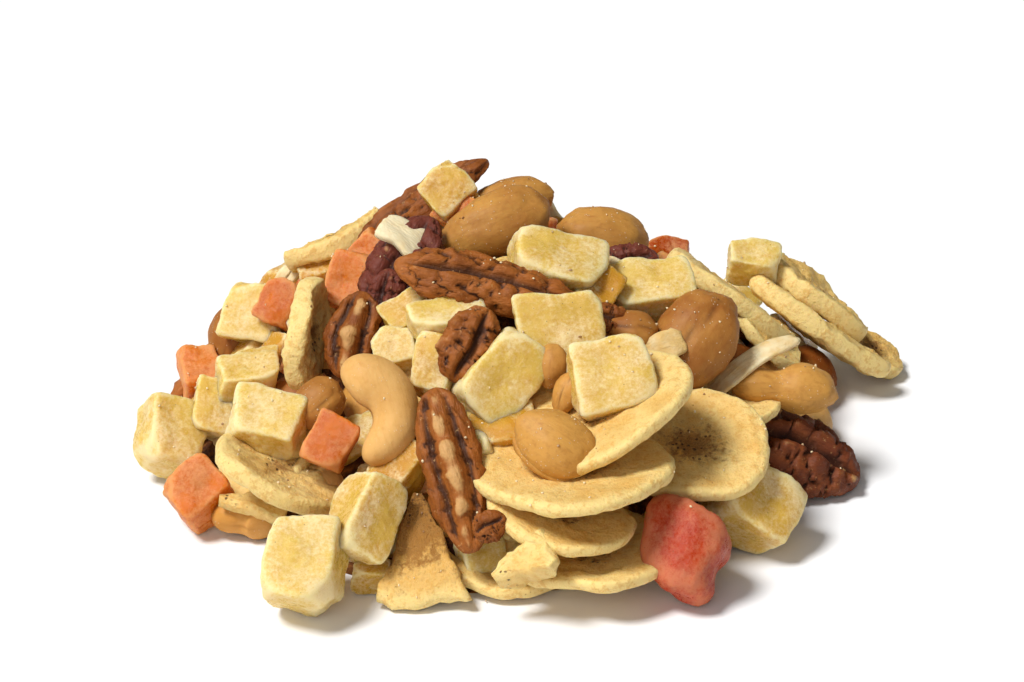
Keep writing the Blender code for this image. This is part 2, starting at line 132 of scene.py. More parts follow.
@dataclass(frozen=True)
class Mound:
    """The rounded hill that the top layer lies on."""

    left: float = 66 * MM
    right: float = 74 * MM
    front: float = 70 * MM
    back: float = 62 * MM
    peak: float = -5 * MM
    height: float = 42 * MM
    power: float = 1.8

    def reach(self, angle: float) -> Vector:
        """How far the foot is from the peak in a direction, along X and along Y."""
        width = self.right if math.cos(angle) > 0 else self.left
        depth = self.back if math.sin(angle) > 0 else self.front
        return Vector((width * math.cos(angle), depth * math.sin(angle)))

    def share(self, x: float, y: float) -> float:
        """How far out a spot is: 0 under the peak, 1 at the foot."""
        across = x - self.peak
        width = self.right if across > 0 else self.left
        depth = self.back if y > 0 else self.front
        return math.hypot(across / width, y / depth)

    def top(self, x: float, y: float) -> float:
        """Height over a spot on the floor."""
        return self.height * (1 - min(self.share(x, y), 1) ** self.power)

    def normal(self, x: float, y: float) -> Vector:
        """Outward direction over a spot."""
        slope_x = (self.top(x + RAY_STEP, y) - self.top(x - RAY_STEP, y)) / (2 * RAY_STEP)
        slope_y = (self.top(x, y + RAY_STEP) - self.top(x, y - RAY_STEP)) / (2 * RAY_STEP)
        return Vector((-slope_x, -slope_y, 1)).normalized()


@dataclass(frozen=True)
class FrontView:
    """The front view: its centre and size in pixels, and where it is taken from."""

    centre: tuple[float, float] = (512, 341)
    focus: float = 3640
    frame_width: float = 1024
    distance: float = 700 * MM
    elevation: float = math.radians(28)
    target: tuple[float, float, float] = (-1 * MM, 0, 19.5 * MM)

    def axes(self) -> Matrix:
        """Right, up and towards the viewer, as the columns of a matrix."""
        right = Vector((1, 0, 0))
        up = Vector((0, math.sin(self.elevation), math.cos(self.elevation)))
        return Matrix((right, up, right.cross(up))).transposed()

    def eye(self) -> Vector:
        """Where the viewer is."""
        return Vector(self.target) + self.axes().col[2] * self.distance

    def ray(self, pixel: tuple[float, float]) -> Vector:
        """Direction in which a pixel looks."""
        across = Vector((pixel[0] - self.centre[0], self.centre[1] - pixel[1], -self.focus))
        return (self.axes() @ across).normalized()

    def on_mound(self, pixel: tuple[float, float], mound: Mound, lift: float) -> Vector:
        """Point where a pixel's ray meets the mound, or passes nearest over it.

        Args:
            pixel: column and row in the front view.
            mound: the hill that carries the piece.
            lift: how far the point is brought back towards the viewer.

        Returns:
            The point.
        """
        eye = self.eye()
        ray = self.ray(pixel)
        best_gap = math.inf
        best_reach = self.distance
        reach = self.distance - RAY_REACH
        while reach < self.distance + RAY_REACH and best_gap > 0:
            point = eye + ray * reach
            gap = point.z - mound.top(point.x, point.y)
            if gap < best_gap and mound.share(point.x, point.y) < 1:
                best_gap = gap
                best_reach = reach
            reach += RAY_STEP
        return eye + ray * (best_reach - lift)

    def on_floor(self, pixel: tuple[float, float], height: float) -> Vector:
        """Point where a pixel's ray passes a height over the floor."""
        eye = self.eye()
        ray = self.ray(pixel)
        return eye + ray * ((height - eye.z) / ray.z)

    def add_camera(self) -> bpy.types.Object:
        """Camera that sees this view."""
        lens = bpy.data.cameras.new("front_view")
        lens.sensor_width = SENSOR_WIDTH
        lens.lens = self.focus * SENSOR_WIDTH / self.frame_width
        lens.clip_start = NEAR_CLIP
        camera = add_object("front_view", lens)
        camera.location = self.eye()
        camera.rotation_euler = self.axes().to_euler()
        bpy.context.scene.camera = camera
        return camera


@dataclass(frozen=True)
class Piece:
    """One piece of the front, placed by where its middle shows.

    at is the pixel of its middle, and size its length, width and thickness in millimetres. angles are its turn,
    nod and roll in degrees: the turn of its long axis in the view, anticlockwise from the right, the nod that
    takes its far end away from the viewer, and the roll, which tips its face up where it is negative. lift, in
    millimetres, brings it off the mound towards the viewer, and a piece on the ground stands on the floor.
    tone picks its shade between the two ends of its finish, and waist is how far its middle is drawn in.
    """

    food: Food
    at: tuple[float, float]
    size: tuple[float, float, float]
    angles: tuple[float, float, float]
    lift: float | None
    tone: float
    waist: float = 0


# The lift of a piece that stands on the floor
GROUND = None

# The pieces of the front, in the order in which Piece names what it holds
PIECES = (
    # Left foot of the heap
    Piece(Food.PINEAPPLE, (173, 437), (12.5, 13, 11), (-14, 20, -24), GROUND, 0.25),
    Piece(Food.PAPAYA, (199, 373), (8.5, 9.5, 8), (8, 10, -30), 1, 0.05),
    Piece(Food.NUT, (231, 338), (14, 9, 8), (75, 0, 0), 0, 0.6),
    Piece(Food.PINEAPPLE, (257, 316), (14, 11.5, 8), (-10, -12, -10), 4, 0.1),
    Piece(Food.PINEAPPLE, (246, 380), (12.5, 9, 8), (4, 6, -50), 2, 0.25),
    Piece(Food.PINEAPPLE, (214, 406), (12.5, 8, 9), (82, 20, 10), 3, 0.35),
    Piece(Food.PINEAPPLE, (266, 424), (15, 12, 10), (-12, -14, -30), 8, 0.15),
    Piece(Food.SLAB, (278, 472), (29, 23, 3.6), (-24, 8, -70), 4, 0.4),
    Piece(Food.PAPAYA, (200, 492), (12, 11, 10), (38, 10, -20), GROUND, 0.35),
    Piece(Food.SHARD, (250, 503), (14, 9, 2.6), (-10, 0, -60), 2, 0.4),
    Piece(Food.CASHEW, (243, 524), (17, 10, 7), (-6, 0, -55), GROUND, 0.7),
    # Front foot of the heap
    Piece(Food.PINEAPPLE, (307, 562), (15, 17, 12.5), (-3, -8, -22), GROUND, 0.2),
    Piece(Food.PINEAPPLE, (367, 520), (16.5, 11.5, 11), (66, 16, 30), 5, 0.4),
    Piece(Food.SHARD, (421, 545), (23, 18, 3), (-87, -16, 6), GROUND, 1.3),
    Piece(Food.PINEAPPLE, (372, 572), (8, 6, 6), (-8, 0, -40), GROUND, 0.5),
    Piece(Food.CHIP, (505, 560), (27, 26, 2.6), (0, 0, -62), GROUND, 0.5),
    Piece(Food.CHIP, (592, 556), (30, 27, 2.6), (8, 4, -60), -1, 0.5),
    Piece(Food.CHIP, (560, 513), (28, 26, 2.4), (-14, 2, -58), 4, 0.6),
    Piece(Food.SHARD, (522, 566), (13, 10, 5), (24, -10, -40), 8, 0.2),
    Piece(Food.RED_PAPAYA, (681, 549), (18, 19, 14), (62, 12, -18), GROUND, 0.6, 0.1),
    Piece(Food.PINEAPPLE, (753, 507), (16, 14.5, 12), (-32, 14, -30), GROUND, 0.45),
    # Right foot of the heap
    Piece(Food.PECAN, (802, 456), (24, 17, 11), (-24, 8, -40), GROUND, 0.75),
    Piece(Food.NUT, (784, 388), (20, 10, 9), (-4, 4, -20), 9, 0.1, 0.3),
    Piece(Food.NUT, (691, 345), (22, 15, 11), (58, 10, -10), 5, 0.6),
    Piece(Food.CHIP, (726, 404), (20, 17, 2.6), (-10, 0, -54), -4, 0.5),
    Piece(Food.COCONUT, (745, 362), (23, 4.4, 1), (36, 6, -40), 8, 0.4),
    Piece(Food.SLAB, (766, 338), (17, 13, 2.4), (-42, 4, -70), 3, 0.5),
    Piece(Food.SLAB, (816, 298), (25, 15, 4), (-40, 4, -77), -1, 0.6),
    Piece(Food.SLAB, (815, 327), (34, 15, 3.8), (-35, 4, -88), 6, 0.5),
    Piece(Food.SLAB, (733, 303), (33, 22, 3.8), (-36, 3, -86), 3, 0.4),
    Piece(Food.SLAB, (868, 352), (15, 12, 3), (-34, 0, -62), GROUND, 0.8),
    Piece(Food.PINEAPPLE, (752, 262), (11, 8, 8), (-10, 8, -40), 0, 0.1),
    # Middle band
    Piece(Food.CHIP, (690, 450), (29.5, 29, 2.8), (6, 2, -48), 3, 0.7),
    Piece(Food.CHIP, (573, 471), (37, 34, 2.8), (2, 2, -61), 7, 0.7),
    Piece(Food.CHIP, (601, 410), (36, 32, 2.8), (31, 6, -54), 8, 0.6),
    Piece(Food.NUT, (554, 443), (15.5, 12, 9), (-32, -6, -20), 12, 0),
    Piece(Food.PECAN, (453, 470), (31, 11.5, 9), (-77, -14, 184), 7, 0.35),
    Piece(Food.PECAN, (490, 526), (6.5, 6, 4.5), (30, 0, -20), 9, 0.5),
    Piece(Food.CASHEW, (376, 412), (23, 17, 9), (105, 6, 186), 7, 0.3),
    Piece(Food.PAPAYA, (331, 443), (11, 9.5, 8), (62, 8, -12), 4, 0.5),
    Piece(Food.NUT, (317, 405), (11, 9, 8), (40, 0, 0), 3, 0.5),
    Piece(Food.SLAB, (306, 335), (22, 15, 4), (83, 16, 72), 4, 0.5),
    Piece(Food.PINEAPPLE, (398, 470), (13, 10, 9), (50, 10, -30), 0, 0.9),
    Piece(Food.PINEAPPLE, (505, 432), (14, 10, 8), (10, 0, -40), 0, 0.9),
    # Upper band
    Piece(Food.PAPAYA, (283, 304), (11, 8, 8), (66, 8, -16), 0, 0.45),
    Piece(Food.PINEAPPLE, (320, 270), (9, 8, 7), (20, 0, -40), 0, 0.95),
    Piece(Food.PAPAYA, (348, 281), (12, 8, 8), (72, 6, -10), 2, 0.2),
    Piece(Food.PECAN, (353, 335), (17, 10.5, 8), (76, 10, 170), 1, 0.5),
    Piece(Food.PECAN, (403, 266), (22, 14, 9), (58, 12, -24), 3, 0.95),
    Piece(Food.PINEAPPLE, (394, 352), (9, 9, 7), (14, 4, -30), 0, 0.3),
    Piece(Food.PINEAPPLE, (436, 370), (12, 9, 8), (74, 10, -14), 3, 0.5),
    Piece(Food.PINEAPPLE, (449, 322), (14.5, 8, 7), (6, 6, -46), 5, 0.05),
    Piece(Food.PECAN, (470, 345), (15, 11, 8), (62, 8, 12), 8, 0.4),
    Piece(Food.PINEAPPLE, (501, 378), (20, 13, 8), (52, 12, 6), 4, 0.2),
    Piece(Food.PECAN, (489, 286), (36, 12, 9), (-13, 0, -34), 7, 0.25),
    Piece(Food.PINEAPPLE, (560, 330), (17, 13, 8), (4, 8, -16), 4, 0.35),
    Piece(Food.PINEAPPLE, (612, 378), (16.5, 15, 8), (14, 4, -20), 13, 0.3),
    Piece(Food.PINEAPPLE, (594, 292), (9, 10, 8), (-30, 0, -30), 1, 0.95),
    Piece(Food.PINEAPPLE, (650, 291), (17.5, 12, 8), (8, 6, -34), 4, 0.2),
    Piece(Food.PINEAPPLE, (555, 262), (19, 12, 8), (-10, 6, -38), 5, 0.3),
    Piece(Food.PECAN, (608, 320), (9, 7, 5), (-10, 0, -20), 2, 0.5),
    Piece(Food.NUT, (632, 331), (9.5, 8, 6), (-10, 0, -20), 3, 0.6),
    Piece(Food.COCONUT, (665, 346), (8, 6, 2.2), (20, 0, -20), 8, 0.9),
    Piece(Food.NUT, (603, 238), (18, 13, 11), (-12, 8, -30), 1, 0.4),
    Piece(Food.PECAN, (628, 264), (12, 9, 6), (10, 0, -30), 0, 0.95),
    Piece(Food.PAPAYA, (667, 258), (10, 8, 7), (-8, 0, -40), 0, 0.85),
    # Crest
    Piece(Food.NUT, (505, 209), (14, 10, 8), (4, 0, -20), -4, 0.3),
    Piece(Food.COCONUT, (534, 211), (13, 9, 2.4), (-36, 0, -30), -2, 0.2),
    Piece(Food.NUT, (495, 225), (22, 13, 11), (22, 6, -20), 5, 0.45),
    Piece(Food.SLAB, (336, 243), (21, 11, 3.6), (27, 2, -83), 3, 0.6),
    Piece(Food.PECAN, (424, 203), (30, 10.5, 7.5), (34, 4, -64), 3, 0.45),
    Piece(Food.PINEAPPLE, (449, 191), (11, 10, 8), (42, 8, -14), 6, 0.55),
    Piece(Food.PAPAYA, (462, 212), (9, 8, 7), (50, 0, -20), 10, 0.4),
    Piece(Food.COCONUT, (413, 238), (13, 8, 1.7), (-40, 2, -42), 14, 0),
)

# Smaller bits between the pieces of the front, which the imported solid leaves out
BITS = (
    Piece(Food.PINEAPPLE, (258, 357), (9, 4, 3), (2, 0, -50), 0.5, 0.4),
    Piece(Food.COCONUT, (293, 273), (7, 4, 1.6), (50, 0, -20), 4, 0.3),
    Piece(Food.PAPAYA, (366, 249), (8, 6, 5), (50, 0, -20), 4, 0.3),
    Piece(Food.COCONUT, (348, 246), (5, 3, 1.5), (10, 0, -20), 7, 0),
    Piece(Food.PINEAPPLE, (408, 314), (9, 8, 6), (30, 0, -30), 1, 0.5),
    Piece(Food.COCONUT, (615, 271), (8, 4.5, 1.6), (-30, 0, -10), 5, 0.1),
    Piece(Food.PINEAPPLE, (470, 452), (8, 6, 5), (30, 0, -30), 3, 0.1),
    Piece(Food.NUT, (551, 366), (8, 6, 5), (80, 0, -20), 6, 0.3),
    Piece(Food.NUT, (566, 394), (8, 5, 4), (70, 0, -20), 8, 0.2),
    Piece(Food.COCONUT, (455, 363), (9, 4, 1.4), (70, 0, 0), 6, 0.2),
    Piece(Food.NUT, (552, 457), (15, 11, 5), (-26, 0, -50), 9, 0.15),
    Piece(Food.NUT, (512, 200), (16, 9, 8), (8, 0, -20), 0, 0.35),
    Piece(Food.PECAN, (385, 300), (12, 8, 6), (80, 6, -20), 0, 0.9),
    Piece(Food.COCONUT, (713, 399), (5, 1.4, 1), (-30, 0, -20), 4, 0.2),
    Piece(Food.PAPAYA, (300, 420), (8, 6, 5), (30, 0, -20), 1, 0.4),
)

# What the scattered pieces are: the foods that take turns, size in millimetres and share
SCATTER_MIX = (
    ((Food.PINEAPPLE, Food.PINEAPPLE, Food.PAPAYA), (14, 12, 9), 7),
    ((Food.CHIP,), (31, 28, 2.6), 3),
    ((Food.PECAN,), (29, 14, 9), 4),
    ((Food.NUT,), (18, 12, 9), 4),
    ((Food.CASHEW,), (22, 14, 9), 3),
    ((Food.PINEAPPLE, Food.PAPAYA, Food.PINEAPPLE), (11, 9, 8), 4),
    ((Food.COCONUT,), (13, 6, 2), 1),
)


def rod(segments: int, rings: int) -> bmesh.types.BMesh:
    """Unit ball with its poles along X, to be shaped into nuts.

    Args:
        segments: faces round it.
        rings: faces from pole to pole.

    Returns:
        The ball.
    """
    bm = bmesh.new()
    bmesh.ops.create_uvsphere(bm, u_segments=segments, v_segments=rings, radius=0.5)
    bmesh.ops.rotate(bm, cent=(0, 0, 0), verts=bm.verts, matrix=Matrix.Rotation(math.pi / 2, 3, "Y"))
    return bm


@dataclass(frozen=True)
class Shape:
    """How one food is shaped. fine is for the pieces that the front view shows.

    fine_faces and plain_faces are how many faces a fine and a plain piece have round it and along it.
    """

    fine: bool = True
    fine_faces: tuple[int, int] = (1, 1)
    plain_faces: tuple[int, int] = (1, 1)

    def faces(self) -> tuple[int, int]:
        """How many faces this piece has round it and along it."""
        return self.fine_faces if self.fine else self.plain_faces

    def start(self, bm: bmesh.types.BMesh) -> bmesh.types.BMLayerItem:
        """Layer that says how deep in a fold each point lies, up to 1."""
        return bm.verts.layers.float.new("fold")

    def mesh(self, size: Vector, rng: random.Random) -> bmesh.types.BMesh:
        """Mesh of one piece about its own middle.

        Args:
            size: length, width and thickness.
            rng: the piece's own dice.

        Returns:
            The mesh, with its fold layer.
        """
        raise NotImplementedError


@dataclass(frozen=True)
class FruitDie(Shape):
    """Die of candied fruit: uneven flat sides, chipped corners, edges softened by the sugar."""

    fine_splits: int = 5
    plain_splits: int = 4
    hardness: float = 17
    chops: int = 7
    chop_depth: tuple[float, float] = (0.78, 0.97)
    chop_slant: float = 0.6
    skew: tuple[float, float] = (0.74, 1.04)
    swell: float = 1.04
    lump: float = 0.85 * MM
    lump_width: float = 5.5 * MM
    grain: float = 0.13 * MM
    grain_width: float = 0.8 * MM
    scallop: float = 0.42 * MM
    scallop_width: float = 3.2 * MM
    scallop_rim: float = 0.6

    def sides(self, size: Vector, rng: random.Random) -> list[tuple[Vector, float]]:
        """Planes that bound the die.

        Args:
            size: length, width and thickness.
            rng: the piece's own dice.

        Returns:
            Outward direction and distance of each plane.
        """
        block = bmesh.new()
        bmesh.ops.create_cube(block, size=1)
        for vert in block.verts:
            vert.co = Vector(c * rng.uniform(*self.skew) for c in vert.co)
        bmesh.ops.scale(block, vec=size, verts=block.verts)
        block.normal_update()
        planes = []
        for face in block.faces:
            reach = sum(face.normal.dot(vert.co) for vert in face.verts) / len(face.verts)
            planes.append((face.normal.copy(), reach * self.swell))
        for _ in range(self.chops):
            away = Vector((rng.choice((-1, 1)), rng.choice((-1, 1)), rng.choice((-1, 0, 1))))
            slant = Vector(rng.uniform(-self.chop_slant, self.chop_slant) for _ in range(3))
            away = (away + slant).normalized()
            reach = max(away.dot(vert.co) for vert in block.verts)
            planes.append((away, reach * rng.uniform(*self.chop_depth)))
        block.free()
        return planes

    def mesh(self, size: Vector, rng: random.Random) -> bmesh.types.BMesh:
        """Mesh of one die, from a ball drawn out to its planes."""
        planes = self.sides(size, rng)
        bm = bmesh.new()
        splits = self.fine_splits if self.fine else self.plain_splits
        bmesh.ops.create_icosphere(bm, subdivisions=splits, radius=1)
        fold = self.start(bm)
        seed = any_spot(rng)
        for vert in bm.verts:
            out = Vector(c * half for c, half in zip(vert.co, size / 2))
            shares = [max(0, away.dot(out) / reach) ** self.hardness for away, reach in planes]
            whole = sum(shares)
            out *= whole ** (-1 / self.hardness)
            rough = noise.noise(out / self.lump_width + seed) * self.lump
            rough += noise.noise(out / self.grain_width - seed) * self.grain
            near, next_near = noise.voronoi(out / self.scallop_width + seed)[0][:2]
            rough -= self.scallop * (self.scallop_rim - min(next_near - near, self.scallop_rim))
            vert.co = out + out.normalized() * rough
            vert[fold] = 1 - max(shares) / whole
        return bm


@dataclass(frozen=True)
class FruitLump(FruitDie):
    """Softer die of candied fruit that has slumped into lobes."""

    hardness: float = 3.6
    chops: int = 2
    lump: float = 0.9 * MM
    scallop: float = 0.45 * MM


@dataclass(frozen=True)
class PecanHalf(Shape):
    """Half of a pecan: two creased ridges with a groove between, a lumpy pale rib on the inner side."""

    fine_faces: tuple[int, int] = (46, 84)
    plain_faces: tuple[int, int] = (24, 22)
    creases: tuple[float, float] = (0.55, 0.75)
    sway: float = 0.07
    taper: float = 0.08
    groove: float = 0.68
    groove_width: float = 0.18
    side_groove: float = 0.16
    side_place: float = 0.66
    side_width: float = 0.09
    crease: float = 0.26
    crease_width: float = 0.3
    puff: float = 0.12
    wrinkle: float = 0.14
    back_depth: float = 0.82
    rib_width: float = 0.3
    trough_place: float = 0.5
    trough_width: float = 0.17

    def mesh(self, size: Vector, rng: random.Random) -> bmesh.types.BMesh:
        """Mesh of one half pecan, its ridged side up. Its fold is high in the grooves, creases and troughs, which the
        finish darkens as painted shade. It is below 0 on the pale rib, and on the swelling ridge tops, which the
        finish lightens as a painted highlight.
        """
        bm = rod(*self.faces())
        fold = self.start(bm)
        seed = any_spot(rng)
        creases = rng.uniform(*self.creases) * size.x / MM
        for vert in bm.verts:
            x, y, z = vert.co
            along = 2 * x
            half = math.sqrt(max(0.25 - x * x, TINY))
            tip = 1 - abs(along) ** 5
            across = y / half - self.sway * math.sin(4 * along + seed.x)
            lump = noise.fractal(Vector((x * 5, across * 1.8, z * 3)) + seed, 0.7, 2.2, 4)
            wave = math.sin(creases * x + 2.2 * lump - 1.1 * abs(across) + (seed.y if across > 0 else seed.z))
            crease = bell(wave, self.crease_width) * step(abs(across), 0.08, 0.35) * tip
            if z > 0:
                middle = bell(across, self.groove_width) * tip
                beside = bell(abs(across) - self.side_place, self.side_width) * tip
                deep = self.groove * middle + self.side_groove * beside + self.crease * crease
                swell = self.puff * (abs(wave) - 0.5) * (1 - middle)
                z *= 1 - deep + swell
                y *= 1 - 0.45 * self.crease * crease + 0.5 * swell
                # Fold for painted shade in the groove and creases, and below 0 for a painted highlight on the
                # swelling ridge tops
                mark = 1.25 * middle + 0.9 * crease + 0.5 * beside - 0.35 * lump - 3 * swell
            else:
                rib = bell(across, self.rib_width) * (0.6 + 0.4 * math.sin(1.6 * creases * x + seed.y)) * tip
                trough = bell(abs(across) - self.trough_place, self.trough_width) * tip
                z *= self.back_depth * (1 - 0.55 * trough + 0.3 * rib - self.crease * crease)
                # Fold for painted shade in the troughs and creases, and below 0 for the pale rib's own colour
                mark = 1.1 * trough - 1.3 * rib + 0.7 * crease - 0.3 * lump
            narrow = 0.95 - self.taper * along
            vert.co = Vector((x, y * narrow, z * narrow)) * (1 + self.wrinkle * lump * tip)
            vert[fold] = min(max(mark, -1), 1)
        bmesh.ops.scale(bm, vec=size, verts=bm.verts)
        return bm


@dataclass(frozen=True)
class CashewCurve(Shape):
    """Smooth curved nut, one lobe fuller than the other, with a fine seam along its inner side."""

    fine_faces: tuple[int, int] = (30, 40)
    plain_faces: tuple[int, int] = (16, 18)
    taper: float = 0.18
    blunt: float = 5
    most_bend: float = 1.3
    seam: float = 0.09
    seam_width: float = 0.07
    lump: float = 0.025
    lump_width: float = 6 * MM

    def mesh(self, size: Vector, rng: random.Random) -> bmesh.types.BMesh:
        """Mesh of one cashew, opening towards its own -Y."""
        length, width, thickness = size
        bm = rod(*self.faces())
        fold = self.start(bm)
        reach = (length - thickness) / 2
        bend = 2 * math.acos(1 - min((width - thickness) / reach, self.most_bend))
        seed = any_spot(rng)
        for vert in bm.verts:
            along = 2 * vert.co.x
            spread = math.hypot(vert.co.y, vert.co.z)
            full = 0.5 * thickness * math.sqrt(max(0, 1 - abs(along) ** self.blunt)) * (1 + self.taper * along)
            grow = full / spread if spread > TINY else 0
            side = vert.co.y * grow
            up = vert.co.z * grow
            seam = bell(up / thickness, self.seam_width) * (1 if side < 0 else 0.25) * (1 - abs(along) ** 4)
            angle = along * bend / 2
            out = reach + side * (1 - self.seam * seam)
            vert.co = (out * math.sin(angle), out * math.cos(angle) - reach / 2, up)
            vert.co *= 1 + self.lump * noise.noise(vert.co / self.lump_width + seed)
            vert[fold] = min(0.75 * seam + 0.4 * abs(along) ** 6, 1)
        return bm


@dataclass(frozen=True)
class PlumpNut(Shape):
    """Roasted nut, a little lopsided, with a shallow seam along its top."""

    fine_faces: tuple[int, int] = (34, 30)
    plain_faces: tuple[int, int] = (18, 14)
    seam: float = 0.12
    seam_width: float = 0.045
    lump: float = 0.075
    creased_share: float = 0.45
    smooth_seam: float = 0.15
    lower_seam: float = 0.3
    lean: float = 0.35

    def mesh(self, size: Vector, rng: random.Random) -> bmesh.types.BMesh:
        """Mesh of one nut."""
        bm = rod(*self.faces())
        fold = self.start(bm)
        seed = any_spot(rng)
        creased = 1 if rng.random() < self.creased_share else self.smooth_seam
        for vert in bm.verts:
            x, y, z = vert.co
            seam = creased * bell(y - 0.03 * math.sin(6 * x + seed.x), self.seam_width) * (1 - abs(2 * x) ** 4)
            if z < 0:
                seam *= self.lower_seam
            z *= 1 - self.seam * seam
            y *= 1 + self.lean * x
            lump = noise.fractal(Vector((x * 2.4, y * 3.6, z * 3.6)) + seed, 0.8, 2.1, 4)
            vert.co = Vector((x, y, z)) * (1 + self.lump * lump)
            vert[fold] = min(max(seam + 0.25 * abs(2 * x) ** 8 - 0.2 * lump, 0), 1)
        bmesh.ops.scale(bm, vec=size, verts=bm.verts)
        return bm


@dataclass(frozen=True)
class BananaSlice(Shape):
    """Fried slice of banana: flat faces, a little sunk in the middle, with a straight stretch or two in its rim."""

    fine_faces: tuple[int, int] = (72, 40)
    plain_faces: tuple[int, int] = (36, 18)
    rim_power: float = 26
    rim_rise: float = 0.05
    rim_place: float = 0.8
    rim_width: float = 0.12
    dent: float = 0.2
    dent_width: float = 0.36
    ragged: float = 0.05
    cuts: int = 3
    cut_depth: tuple[float, float] = (0.86, 0.97)
    cut_hardness: float = 18
    cup: tuple[float, float] = (0.5, 1.4)
    cupped: float = 1
    crackle: float = 0.3
    warp: float = 0.25

    def mesh(self, size: Vector, rng: random.Random) -> bmesh.types.BMesh:
        """Mesh of one whole slice. Its fold is how far out a point lies."""
        length, width, thickness = size
        bm = bmesh.new()
        segments, rings = self.faces()
        bmesh.ops.create_uvsphere(bm, u_segments=segments, v_segments=rings, radius=1)
        fold = self.start(bm)
        cup = rng.uniform(*self.cup) * thickness * self.cupped
        twist = rng.uniform(0, math.pi)
        seed = any_spot(rng)
        cuts = [(rng.uniform(0, 2 * math.pi), rng.uniform(*self.cut_depth)) for _ in range(self.cuts)]
        for vert in bm.verts:
            out = min(math.hypot(vert.co.x, vert.co.y), 1)
            angle = math.atan2(vert.co.y, vert.co.x)
            round_trip = Vector((math.cos(angle), math.sin(angle), 0))
            shares = [max(0, math.cos(angle - away) / reach) ** self.cut_hardness for away, reach in cuts]
            edge = (1 + sum(shares)) ** (-1 / self.cut_hardness)
            edge *= 1 + self.ragged * noise.fractal(round_trip * 1.6 + seed, 0.8, 2.2, 4)
            spread = out ** 0.8
            side = 1 if vert.co.z > 0 else -1
            body = max(0, 1 - out ** self.rim_power) ** 0.5
            cracks = self.crackle * noise.fractal(round_trip * spread * 5 + seed, 0.6, 2.2, 4)
            rim = self.rim_rise * bell(spread - self.rim_place, self.rim_width)
            rise = rim - self.dent * bell(spread, self.dent_width) + cracks
            wave = math.cos(2 * (angle - twist))
            lift = cup * spread * spread * (0.35 + 0.4 * wave)
            lift += self.warp * thickness * noise.noise(round_trip * spread * 1.3 - seed)
            vert.co = (0.5 * length * spread * edge * math.cos(angle),
                       0.5 * width * spread * edge * math.sin(angle),
                       lift + side * 0.5 * thickness * body * (1 + rise))
            vert[fold] = spread
        return bm


@dataclass(frozen=True)
class BananaSlab(BananaSlice):
    """Slice that dried nearly flat."""

    cupped: float = 0.3
    ragged: float = 0.035


@dataclass(frozen=True)
class BananaShard(BananaSlice):
    """Broken piece of a slice: its point near the middle, the rim along its short side."""

    fine_faces: tuple[int, int] = (96, 44)
    plain_faces: tuple[int, int] = (96, 44)
    blunt: float = 0.1
    cuts: int = 0
    torn: float = 1.1 * MM
    torn_width: float = 5 * MM

    def mesh(self, size: Vector, rng: random.Random) -> bmesh.types.BMesh:
        """Mesh of one shard, cut out of a larger slice."""
        length, width, thickness = size
        bm = super().mesh(Vector((2 * length, 2 * length, thickness)), rng)
        half_angle = math.atan2(width / 2, length)
        breaks = [(length * self.blunt, (-1, 0, 0))]
        breaks += [(0, (-math.sin(half_angle), side * math.cos(half_angle), 0)) for side in (1, -1)]
        for start, away in breaks:
            cut = bmesh.ops.bisect_plane(bm, geom=bm.verts[:] + bm.edges[:] + bm.faces[:], dist=TINY,
                                         plane_co=(start, 0, 0), plane_no=away, clear_outer=True)
            rim = [item for item in cut["geom_cut"] if isinstance(item, bmesh.types.BMEdge)]
            bmesh.ops.contextual_create(bm, geom=rim)
        bmesh.ops.translate(bm, verts=bm.verts, vec=(-length / 2, 0, 0))
        for vert in bm.verts:
            torn = noise.turbulence_vector(vert.co / self.torn_width, 3, False) * self.torn
            vert.co += Vector((torn.x, torn.y, 0))
        bmesh.ops.triangulate(bm, faces=[face for face in bm.faces if len(face.verts) > 4])
        bmesh.ops.recalc_face_normals(bm, faces=bm.faces)
        return bm


@dataclass(frozen=True)
class CoconutShaving(Shape):
    """Thin shaving of coconut, bent along its length, with an uneven edge."""

    fine_faces: tuple[int, int] = (10, 26)
    plain_faces: tuple[int, int] = (5, 12)
    sag: tuple[float, float] = (0.12, 0.2)
    pointed: float = 0.35
    ragged: float = 0.16
    ripple: float = 0.35
    twist: float = 0.18

    def mesh(self, size: Vector, rng: random.Random) -> bmesh.types.BMesh:
        """Mesh of one shaving."""
        length, width, thickness = size
        bm = bmesh.new()
        across, along = self.faces()
        bmesh.ops.create_grid(bm, x_segments=along, y_segments=across, size=0.5)
        sag = rng.uniform(*self.sag) * length
        seed = any_spot(rng)
        for vert in bm.verts:
            x, y, _ = vert.co
            waist = 1 - self.pointed * abs(2 * x) ** 3 + self.ragged * noise.noise(Vector((x * 4, 0, 0)) + seed)
            ripple = noise.noise(Vector((x * 3, y * 5, 0)) + seed)
            vert.co.z = -4 * sag * x * x + self.ripple * thickness * ripple + self.twist * width * x * y
            vert.co.x = x * length * (1 + 0.1 * noise.noise(Vector((y * 4, 3, 0)) + seed))
            vert.co.y = y * width * waist
        bmesh.ops.recalc_face_normals(bm, faces=bm.faces)
        bmesh.ops.solidify(bm, geom=bm.faces[:], thickness=thickness)
        bmesh.ops.recalc_face_normals(bm, faces=bm.faces)
        bmesh.ops.smooth_vert(bm, verts=bm.verts, factor=0.5, use_axis_x=True, use_axis_y=True, use_axis_z=True)
        self.start(bm)
        return bm


@dataclass(frozen=True)
class Crumb(Shape):
    """Angular broken grain."""

    rough: float = 0.35

    def mesh(self, size: Vector, rng: random.Random) -> bmesh.types.BMesh:
        """Mesh of one grain."""
        bm = bmesh.new()
        bmesh.ops.create_icosphere(bm, subdivisions=1, radius=0.5)
        fold = self.start(bm)
        for vert in bm.verts:
            vert.co *= rng.uniform(1 - self.rough, 1 + self.rough)
            vert[fold] = 0
        bmesh.ops.scale(bm, vec=size, verts=bm.verts)
        return bm


